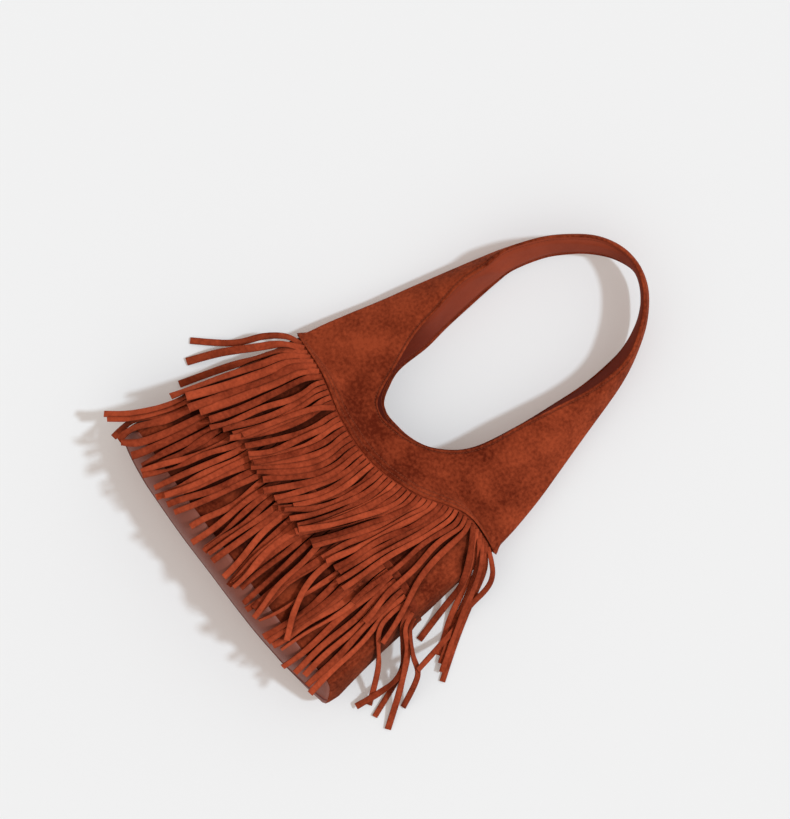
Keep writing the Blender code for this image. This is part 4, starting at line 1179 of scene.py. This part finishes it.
# %% Rows of stitches
def stitches_along(run, up, closed):
    """Places, directions and upward normals of the stitches on a line."""
    if closed:
        run, up = np.vstack([run, run[:1]]), np.vstack([up, up[:1]])
    along = lengths_along(run)
    count = int(along[-1] / STITCH_PITCH)
    wanted = (np.arange(count) + 0.5) * along[-1] / count
    ahead = read_at(wanted + STITCH_REACH, along, run)
    before = read_at(wanted - STITCH_REACH, along, run)
    return read_at(wanted, along, run), unit(ahead - before), unit(read_at(wanted, along, up))


def stitch_row(name, rows):
    """One piece for several rows, each given as its line, its normals and whether it is closed."""
    points, faces = [], []
    chance = random.Random(5)
    for run, up, closed in rows:
        for place, ahead, normal in zip(*stitches_along(run, up, closed)):
            side = unit(np.cross(normal, ahead) + ahead * chance.gauss(0, STITCH_SKEW))
            ahead = np.cross(side, normal)
            start = len(points) * len(STITCH_POINTS)
            points.append(place + STITCH_POINTS @ np.array([ahead, side, normal]) + normal * STITCH_PROUD)
            faces.extend([tuple(v + start for v in face) for face in STITCH_FACES])
    piece = make_piece(name, np.concatenate(points), faces, THREAD, sharp=80)
    print(name, len(points), "stitches")
    return piece


def line_at(skin, normals, distance, place, columns=slice(None)):
    """The line on a skin at one distance from its edge, column by column."""
    found = []
    for column, normal, far in zip(skin[columns], normals[columns], distance[columns]):
        order = np.argsort(far)
        point = [np.interp(place, far[order], column[order, k]) for k in range(3)]
        found.append(point + [np.interp(place, far[order], normal[order, k]) for k in range(3)])
    found = np.array(found)
    return found[:, :3], found[:, 3:]


low_columns = slice(1, LOW)
front_rows = [(*line_at(yoke_skin, n_ring, front_in, RIM_STITCH), True)]
back_rows = [(*line_at(back_skin, n_back_ring, back_in, RIM_STITCH), True)]
for place in EDGE_STITCHES:
    front_rows.append((*line_at(yoke_skin, n_ring, front_out, place, low_columns), False))
    back_rows.append((*line_at(back_skin, n_back_ring, back_out, place, low_columns), False))
strap_steps = np.linalg.norm(np.diff(strap, axis=1), axis=2)
strap_from_front = np.hstack([np.zeros((len(strap), 1)), np.cumsum(strap_steps, axis=1)])
strap_from_back = strap_from_front[:, -1:] - strap_from_front
strap_rows = [
    (*line_at(strap_skin, n_strap, strap_from_front, STRAP_STITCH), False),
    (*line_at(strap_skin, n_strap, strap_from_back, STRAP_STITCH), False),
]
front_stitches = stitch_row("stitches_front", front_rows)
back_stitches = stitch_row("stitches_back", back_rows)
strap_stitches = stitch_row("stitches_strap", strap_rows)

# %% [markdown]
# ## Fringe
#
# The two tiers are strips of suede cut into strands of about six millimetres. Each strand leaves its strip
# square to it and then falls the way the photograph shows, so the flow is a table: for places across the
# bag, the strand's angle at its root, halfway and at its end. A second table says how far down the strands
# reach. Where a strand strays from its tier it follows a path of its own.

# %% How the strands run, in degrees from straight down, positive to the right
UPPER_FLOW = [
    (-140, -20, -34, -38),
    (-125, -16, -28, -34),
    (-112, -11, -24, -27),
    (-100, -4, -17, -22),
    (-80, -2, -13, -24),
    (-60, -2, -20, -32),
    (-40, 0, -20, -32),
    (-20, 4, -18, -31),
    (0, 8, -14, -28),
    (20, 6, -18, -26),
    (40, 0, -22, -23),
    (60, -8, -16, -17),
    (80, -6, -8, -5),
    (95, -2, -2, 1),
    (105, 3, 11, 15),
    (115, 8, 15, 16),
    (140, 30, 32, 32),
]
LOWER_FLOW = [
    (-150, -8, -12, -16),
    (-135, -8, -13, -15),
    (-115, -6, -12, -12),
    (-95, -4, -11, -14),
    (-75, -3, -13, -14),
    (-58, 0, -8, -14),
    (-40, 2, -3, -4),
    (-20, 2, 2, 4),
    (-5, 2, 5, 11),
    (10, 1, 2, 6),
    (20, -3, 3, 9),
    (35, 2, 4, 9),
    (50, -2, -8, -4),
    (65, 4, 3, -11),
    (85, 6, 6, -4),
    (105, 5, 5, 3),
    (118, 7, 9, 6),
    (135, 10, 12, 8),
    (155, 16, 20, 20),
]
UPPER_ENDS = [
    (-150, 66),
    (-136, 74),
    (-104, 87),
    (-85, 93.5),
    (-52, 86),
    (-15, 90),
    (7, 88),
    (48, 94),
    (82, 90),
    (130, 87),
]
LOWER_ENDS = [
    (-150, 2),
    (-120, -1),
    (-100, 0),
    (-75, 4),
    (-40, 3),
    (0, 2),
    (45, 3),
    (75, 2),
    (106, -2),
    (128, 1),
    (143, -2),
]
UPPER_STRAYS = {
    0: [(-152, 190), (-166, 172), (-180, 143), (-209, 109)],
    1: [(-148, 182), (-162, 158), (-180, 126), (-194, 93)],
    2: [(-143, 178), (-154, 150), (-167, 115), (-180, 74)],
    3: [(-136, 178), (-145, 150), (-158, 112), (-172, 63)],
    4: [(-128, 178), (-136, 150), (-148, 112), (-162, 76)],
    5: [(-121, 180), (-128, 150), (-139, 112), (-151, 72)],
    6: [(-114, 180), (-121, 150), (-131, 112), (-142, 78)],
    7: [(-106, 180), (-112, 150), (-120, 112), (-130, 80)],
    13: [(-75, 173), (-82, 155), (-90, 128), (-98, 98)],
    46: [(133, 205), (152, 180), (162, 150), (173, 112)],
    47: [(140, 204), (158, 178), (176, 148), (198, 118)],
    48: [(146, 205), (164, 180), (183, 148), (206, 114)],
    49: [(150, 205), (168, 180), (188, 147), (213, 110)],
    50: [(153, 209), (172, 180), (193, 146), (221, 105)],
    51: [(150, 219), (163, 211), (171, 198), (177, 170), (187, 138), (193, 94)],
}
LOWER_STRAYS = {
    0: [(-160, 100), (-166, 60), (-181, 25), (-199, -1)],
    1: [(-154, 98), (-161, 60), (-175, 25), (-194, -2)],
    2: [(-152, 80), (-163, 45), (-176, 18), (-175, -10)],
    3: [(-148, 80), (-157, 45), (-169, 15), (-169, -5)],
    4: [(-138, 75), (-145, 40), (-154, 12), (-166, -3)],
    5: [(-131, 75), (-137, 40), (-144, 10), (-148, -2)],
    34: [(53, 90), (57, 62), (70, 36), (89, 12)],
    46: [(131, 108), (138, 88), (168, 64), (196, 31)],
    47: [(147, 110), (166, 97), (187, 78), (208, 29)],
    48: [(152, 110), (174, 96), (201, 66), (227, 31)],
    49: [(156, 113), (178, 100), (199, 90), (218, 57)],
    50: [(160, 108), (179, 92), (190, 66), (188, 20)],
}
LOWER_STRIP = [(-158, 112), (-125, 118), (0, 124), (100, 132), (140, 126), (158, 119)]
print("strands with a path of their own:", len(UPPER_STRAYS), "above,", len(LOWER_STRAYS), "below")

# %% [markdown]
# The strands lie on the panel and on each other. A map of heights, one cell to the square millimetre, keeps
# the top of everything laid so far. It starts with rays shot down on the panels.

# %% The map of heights
MAP_LEFT, MAP_RIGHT, MAP_BOTTOM, MAP_TOP = -240, 250, -45, 260


class Heights:
    """The top of everything laid so far, with the tier that is being laid kept apart."""

    def __init__(self, pieces):
        corners, faces = [], []
        for piece in pieces:
            start = len(corners)
            corners += [v.co / METRE + Vector((0, ORIGIN_UP, 0)) for v in piece.data.vertices]
            faces += [[v + start for v in face.vertices] for face in piece.data.polygons]
        self.tree = BVHTree.FromPolygons(corners, faces)
        across, up = range(MAP_LEFT, MAP_RIGHT), range(MAP_BOTTOM, MAP_TOP)
        self.below = np.array([[self.top(x, y) for y in up] for x in across])
        self.tier = np.zeros_like(self.below)

    def top(self, x, y):
        hit = self.tree.ray_cast(Vector((x, y, 300)), Vector((0, 0, -1)))[0]
        return hit.z if hit else 0.0

    def cell(self, x, y):
        i = np.clip(np.round(x - MAP_LEFT).astype(int), 0, self.below.shape[0] - 1)
        return i, np.clip(np.round(y - MAP_BOTTOM).astype(int), 0, self.below.shape[1] - 1)

    def read(self, x, y, air=0.0):
        i, j = self.cell(x, y)
        low = self.below[i, j]
        return np.maximum(low + np.where(low > 1, air, 0), self.tier[i, j])

    def mark(self, x, y, z):
        np.maximum.at(self.tier, self.cell(x, y), z)

    def end_tier(self):
        self.below = np.maximum(self.below, self.tier)
        self.tier = np.zeros_like(self.below)


heights = Heights([front_panel, left_side, right_side, bottom])
print("map:", heights.below.shape, "highest:", round(float(heights.below.max()), 1), "mm")

# %% [markdown]
# A strand is a thin springy strip. Along its path it takes the shape of least bending that stays above
# everything below it, and past the edge of the bag it droops under its own weight. That is a contact
# problem, which is solved by trial: hold the points that touch, let the rest hang, and swap them until
# nothing sinks in and nothing is pulled down.

# %% Draping one strand
STEP = 2.0
DROOP = 3e-5
MOST_TRIALS = 60


def drape(needed, start, droop):
    """Heights at even steps of a springy strip that starts level on its root and rests on what is below."""
    count = len(needed)
    bend = np.zeros((count - 2, count))
    for k in range(count - 2):
        bend[k, k : k + 3] = 1, -2, 1
    stiff = bend.T @ bend
    load = -np.full(count, droop * STEP**4)
    held = np.zeros(count, bool)
    held[:2] = True
    level = np.maximum(needed, 0)
    level[0], level[1] = start, max(start, needed[1])
    fixed = level.copy()
    for _ in range(MOST_TRIALS):
        free = ~held
        target = np.where(held, fixed, 0)
        level = target.copy()
        from_held = stiff[np.ix_(free, held)] @ target[held]
        level[free] = np.linalg.solve(stiff[np.ix_(free, free)], load[free] - from_held)
        push = stiff @ level - load
        sunk = free & (level < needed - 1e-3)
        pulled = held & (push < -1e-9)
        pulled[:2] = False
        if not sunk.any() and not pulled.any():
            break
        if sunk.any():
            worst = int(np.argmax(np.where(sunk, needed - level, -1)))
            held[worst] = True
            fixed[worst] = needed[worst]
        else:
            held[int(np.argmin(np.where(pulled, push, 1)))] = False
    return np.maximum(level, needed)


FREE_LENGTH, NOTHING_BELOW = 40, -100.0
hanging = drape(np.full(int(FREE_LENGTH / STEP) + 1, NOTHING_BELOW), 0, DROOP)
print("a strand that hangs free for", FREE_LENGTH, "mm droops by", round(-hanging[-1], 1), "mm")

# %% [markdown]
# A strand's cross-section has eight points, a flat oval with crisp sides. It is turned about the strand
# where the strand lies half on a neighbour, and a few strands twist on edge, as cut suede does.

# %% Making a tier
# Each point: across, up, and its share of the dark edge colour, which on the sides and underside is the raw
# cut edge in part and painted shade in part.
STRAND_POINTS = [
    (-1, -0.1, 0.9),
    (-0.94, 0.7, 0.25),
    (-0.5, 1, 0),
    (0.5, 1, 0),
    (0.94, 0.7, 0.25),
    (1, -0.1, 0.9),
    (0.9, -0.9, 1.0),
    (-0.9, -0.9, 1.0),
]
STRAND_THICK = 1.5
AIR_UNDER = 0.8
STEEPEST = 0.4
WEAVE = 1.7
ROOT_WIDE, END_WIDE, WIDEN = 5.1, 6.5, 40.0
LEAN_MOST = math.radians(38)
FEELER, CLEAR_AT = 0.36, (-0.62, -0.3, 0, 0.3, 0.62)
LEAST_GAP, ROOT_PLAY = 0.12, 0.4
FLOW_READ_AT, LONGEST = [0, 14, 45, 90], 150
UNEVEN_END, UNEVEN_HALFWAY, UNEVEN_LENGTH = 1.6, 1.2, 2.6


def stray_path(start, stops):
    run = evenly([start, *stops], np.linspace(0, 1, 200))
    return at_lengths(run, np.arange(0, lengths_along(run)[-1], STEP))


def flowing_path(start, square, flow, ends, chance, lock):
    """A path that starts square to its strip and bends to the flow of its place, as long as its tier."""
    table = np.array(flow, float)
    first, middle, last = (np.interp(start[0], table[:, 0], table[:, k]) for k in (1, 2, 3))
    last = last + lock + chance.gauss(0, UNEVEN_END)
    middle = middle + lock * 0.6 + chance.gauss(0, UNEVEN_HALFWAY)
    short = chance.gauss(0, UNEVEN_LENGTH)
    points = [np.array(start, float)]
    travelled = 0.0
    while travelled < LONGEST:
        lean = math.radians(np.interp(travelled, FLOW_READ_AT, [square, first, middle, last]))
        points.append(points[-1] + STEP * np.array([math.sin(lean), -math.cos(lean)]))
        travelled += STEP
        end = np.interp(points[-1][0], [e[0] for e in ends], [e[1] for e in ends])
        if points[-1][1] < end + short:
            break
    points = np.array(points)
    run = unit(np.gradient(points, axis=0))
    length = np.arange(len(points)) * STEP
    wave = np.sin(length / chance.uniform(11, 20) + chance.uniform(0, 6)) * WEAVE * ease(length / 22)
    return points + np.column_stack([run[:, 1], -run[:, 0]]) * wave[:, None] * chance.uniform(0.3, 1)


def smoothed(values, rounds):
    for _ in range(rounds):
        values = np.convolve(np.concatenate([values[:1], values, values[-1:]]), [0.25, 0.5, 0.25], "valid")
    return values


def make_strand(path, root_height, wide_share, twist, droop, air):
    """Rings of eight points along a strand, laid on the map and marked there."""
    count = len(path)
    along = np.arange(count) * STEP
    run = unit(np.gradient(path, axis=0))
    side = np.column_stack([run[:, 1], -run[:, 0]]) * -1
    wide = (ROOT_WIDE + (END_WIDE - ROOT_WIDE) * ease(along / WIDEN)) * wide_share
    half = wide / 2
    reach = FEELER * wide[:, None]
    left = heights.read(*(path - side * reach).T)
    right = heights.read(*(path + side * reach).T)
    lean = np.clip(np.arctan2(right - left, 2 * FEELER * wide), -LEAN_MOST, LEAN_MOST)
    lean = smoothed(lean, 14) * ease(along / 16) + twist
    needed = np.zeros(count)
    for share in CLEAR_AT:
        across = half * share * np.cos(lean)
        spot = path + side * across[:, None]
        rise = half * share * np.sin(lean)
        needed = np.maximum(needed, heights.read(*spot.T, air) - rise)
    needed = needed + STRAND_THICK / 2 + LEAST_GAP
    needed = np.minimum(needed, root_height + ROOT_PLAY + STEEPEST * along)
    level = drape(needed, root_height, droop)
    centre = np.column_stack([path, level])
    ahead = unit(np.gradient(centre, axis=0))
    across = np.column_stack([side, np.zeros(count)])
    up = unit(np.cross(across, ahead))
    up *= np.sign(up[:, 2:])
    tilt, rise = np.cos(lean)[:, None], np.sin(lean)[:, None]
    across, up = across * tilt + up * rise, up * tilt - across * rise
    rings = []
    for a, b, _ in STRAND_POINTS:
        rings.append(centre + across * (half * a)[:, None] + up * (STRAND_THICK / 2 * b))
    rings = np.stack(rings, axis=1)
    fine = np.linspace(0, count - 1, 3 * count)
    for share in np.linspace(-0.92, 0.92, 9):
        top = centre + across * (half * share)[:, None] + up * STRAND_THICK / 2
        heights.mark(*(np.interp(fine, np.arange(count), top[:, k]) for k in range(3)))
    return rings


# %% [markdown]
# The strip that carries a tier lies on the panel, under the yoke's edge or under the tier above. Its strands
# are laid in a shuffled order, so neighbours overlap both ways round.

# %% Tiers
STRANDS = 50
LIFT_MOST, CURL_REACH = 2.6, 30.0
FAN_WIDE = 1.3
SWAY, TWIST_OFTEN, TWIST_LEAST, TWIST_MOST = 13, 0.12, 35, 65
STIFF_LEFT_OF, STIFF_DROOP = -160, 0.3
UV_ALONG, UV_ACROSS = 40, 20


def at_shares(edge, shares):
    """Points at shares of a line's length."""
    return at_lengths(edge, np.asarray(shares) * lengths_along(edge)[-1])


def make_tier(name, low, high, flow, ends, strays, strands, seed, node, curl, fan=()):
    """A strip between two lines and the strands that hang from the lower one."""
    chance = random.Random(seed)
    points, faces, run_uv, tones, edge_and_shade_weights = [], [], [], [], []
    shares = np.linspace(0, 1, 121)
    strip = []
    for line in (low, high):
        plan = at_shares(line, shares)
        strip.append(np.column_stack([plan, heights.read(*plan.T) + 0.25]))
    strip = np.stack(strip, axis=1)
    strip[:, :, 2] = np.column_stack([smoothed(strip[:, k, 2], 4) for k in (0, 1)])
    mid = strip.mean(axis=1, keepdims=True)
    strip = np.concatenate([strip[:, :1], mid, strip[:, 1:]], axis=1)
    backing = sheet(name + "_strip", strip + (0, 0, FRINGE_THICK), strip, SUEDE_FRINGE)
    for k in range(3):
        heights.mark(*(strip[:, k] + (0, 0, FRINGE_THICK)).T)
    order = list(range(strands))
    chance.shuffle(order)
    order.sort(key=lambda k: k in strays)
    for k in order:
        share = (k + 0.5) / strands
        root = at_shares(low, [share])[0]
        inner = at_shares(high, [share])[0]
        square = math.degrees(math.atan2(root[0] - inner[0], inner[1] - root[1]))
        root_height = float(np.interp(share, shares, strip[:, 0, 2])) + FRINGE_THICK / 2
        lock = 4.0 * math.sin(root[0] / 6.1 + seed) + 2.5 * math.sin(root[0] / 13.7 + 2 * seed)
        if k in strays:
            path = stray_path(root, strays[k])
        else:
            path = flowing_path(root, square * 0.6, flow, ends, chance, lock)
        length = np.arange(len(path)) * STEP
        most, phase = math.radians(chance.gauss(0, SWAY)), chance.uniform(0, 6)
        sway = most * np.sin(length / 22 + phase) * ease(length / 20)
        if chance.random() < TWIST_OFTEN:
            turn = math.radians(chance.uniform(TWIST_LEAST, TWIST_MOST)) * chance.choice((-1, 1))
            sway = sway + turn * ease((length - chance.uniform(8, 60)) / 30)
        droop = DROOP * (STIFF_DROOP if path[-1][0] < STIFF_LEFT_OF else 1.0)
        air = (AIR_UNDER + LIFT_MOST * chance.random() ** 1.5) * ease(length / 35)
        air = air + curl * chance.uniform(0.6, 1.4) * ease((length - length[-1] + CURL_REACH) / CURL_REACH)
        wide = chance.uniform(0.9, 1.1) * (FAN_WIDE if k in fan else 1)
        rings = make_strand(path, root_height, wide, sway, droop, air)
        start = len(points) * 8
        count = len(rings)
        for i in range(count - 1):
            for e in range(8):
                f = (e + 1) % 8
                a, b = start + 8 * i, start + 8 * (i + 1)
                faces.append((a + e, a + f, b + f, b + e))
        faces.append(tuple(start + e for e in range(8))[::-1])
        faces.append(tuple(start + 8 * (count - 1) + e for e in range(8)))
        points.extend(rings)
        tone = chance.random()
        for i in range(count):
            for a, _, edge_and_shade in STRAND_POINTS:
                along, beside = i * STEP + UV_ALONG * k, a * END_WIDE / 2 + UV_ACROSS * k
                run_uv.append((along * METRE, beside * METRE))
                tones.append(tone)
                edge_and_shade_weights.append(edge_and_shade)
    fringe = make_piece(name, np.concatenate(points), faces, SUEDE_FRINGE, sharp=50)
    layer = fringe.data.uv_layers.new(name="strand")
    corners = np.zeros(len(fringe.data.loops), int)
    fringe.data.loops.foreach_get("vertex_index", corners)
    layer.data.foreach_set("uv", np.array(run_uv)[corners].ravel())
    keep_values(fringe, "tone", tones)
    keep_values(fringe, "cut_edge", edge_and_shade_weights)
    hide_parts(node)
    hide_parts(node)
    heights.end_tier()
    print(name, strands, "strands,", len(faces), "faces, highest", round(float(heights.below.max()), 1))
    return fringe, backing


lower_line = curve_at(LOWER_STRIP, np.linspace(0, len(LOWER_STRIP) - 1, 60))
lower_tier, lower_strip = make_tier(
    "fringe_lower",
    low=lower_line,
    high=lower_line + (0, 7),
    flow=LOWER_FLOW,
    ends=LOWER_ENDS,
    strays=LOWER_STRAYS,
    strands=STRANDS + 1,
    seed=21,
    node="lower_fringe",
    curl=0.8,
    fan=range(3, 8),
)
yoke_line = front[:, -1, :2]
inner_line = front_ring[: LOW + 1, lap_row, :2]
trim = np.linspace(0.014, 0.986, 150)
upper_low = at_shares(yoke_line - (0, 1.2), trim)
upper_high = at_shares(yoke_line + (inner_line - yoke_line) * 0.8, trim)
upper_tier, upper_strip = make_tier(
    "fringe_upper",
    low=upper_low,
    high=upper_high,
    flow=UPPER_FLOW,
    ends=UPPER_ENDS,
    strays=UPPER_STRAYS,
    strands=STRANDS + 2,
    seed=22,
    node="upper_fringe",
    curl=3.4,
    fan=range(1, 8),
)

# %% [markdown]
# Suede that lies under the fringe is darkened with painted shade. How much of it is covered is read back
# from the map of heights around each point, and kept as an attribute of the mesh.

# %% Painted shade where the fringe lies over
CLEAR_OF_PANEL, CLEAR_OF_STRAND = 2.0, 3.5
COVER_STARTS, COVER_GROWS = 0.15, 0.6


def mark_covered(piece, above, reach=3.0):
    """Keeps the share of the surroundings of each point that something lies over, as painted shade."""
    flat = np.zeros(len(piece.data.vertices) * 3)
    piece.data.vertices.foreach_get("co", flat)
    x, y, z = (flat.reshape(-1, 3) / METRE + (0, ORIGIN_UP, 0)).T
    steps = [(a * reach, b * reach) for a in range(-2, 3) for b in range(-2, 3)]
    hidden = np.mean([heights.read(x + a, y + b) > z + above for a, b in steps], axis=0)
    share = ease((hidden - COVER_STARTS) / COVER_GROWS)
    keep_values(piece, "covered", share)
    print(piece.name, "covered:", round(float(share.mean()), 2))


# Painted shade under the fringe, on the panels and on the lower tier and its strip.
for piece in (front_panel, left_side, right_side):
    mark_covered(piece, CLEAR_OF_PANEL)
mark_covered(lower_tier, CLEAR_OF_STRAND)
mark_covered(lower_strip, CLEAR_OF_PANEL)

# %% [markdown]
# ## What each sheet was cut to
#
# Every panel here is a flat piece of leather or cloth before it is sewn. Its cut size is given; its area is
# measured on the made sheet and printed, with the share of the cut rectangle that it fills.

def declare(piece, flat):
    """Prints a sheet's area, half that of all its faces, and the share of its cut rectangle that it fills."""
    area = sum(face.area for face in piece.data.polygons) / 2
    share = area / (flat[0] * flat[1])
    print(piece.name, "area", round(area, 4), "share of its rectangle", round(share, 2))


declare(front_panel, (0.32, 0.22))
declare(back_panel, (0.34, 0.22))
declare(left_side, (0.075, 0.2))
declare(right_side, (0.075, 0.225))
declare(bottom, (0.345, 0.11))
declare(front_yoke, (0.31, 0.36))
declare(back_yoke, (0.31, 0.36))
declare(strap_lining, (0.047, 0.63))
declare(facings[0], (0.285, 0.15))
declare(facings[1], (0.285, 0.15))
declare(pouch_piece, (0.735, 0.22))
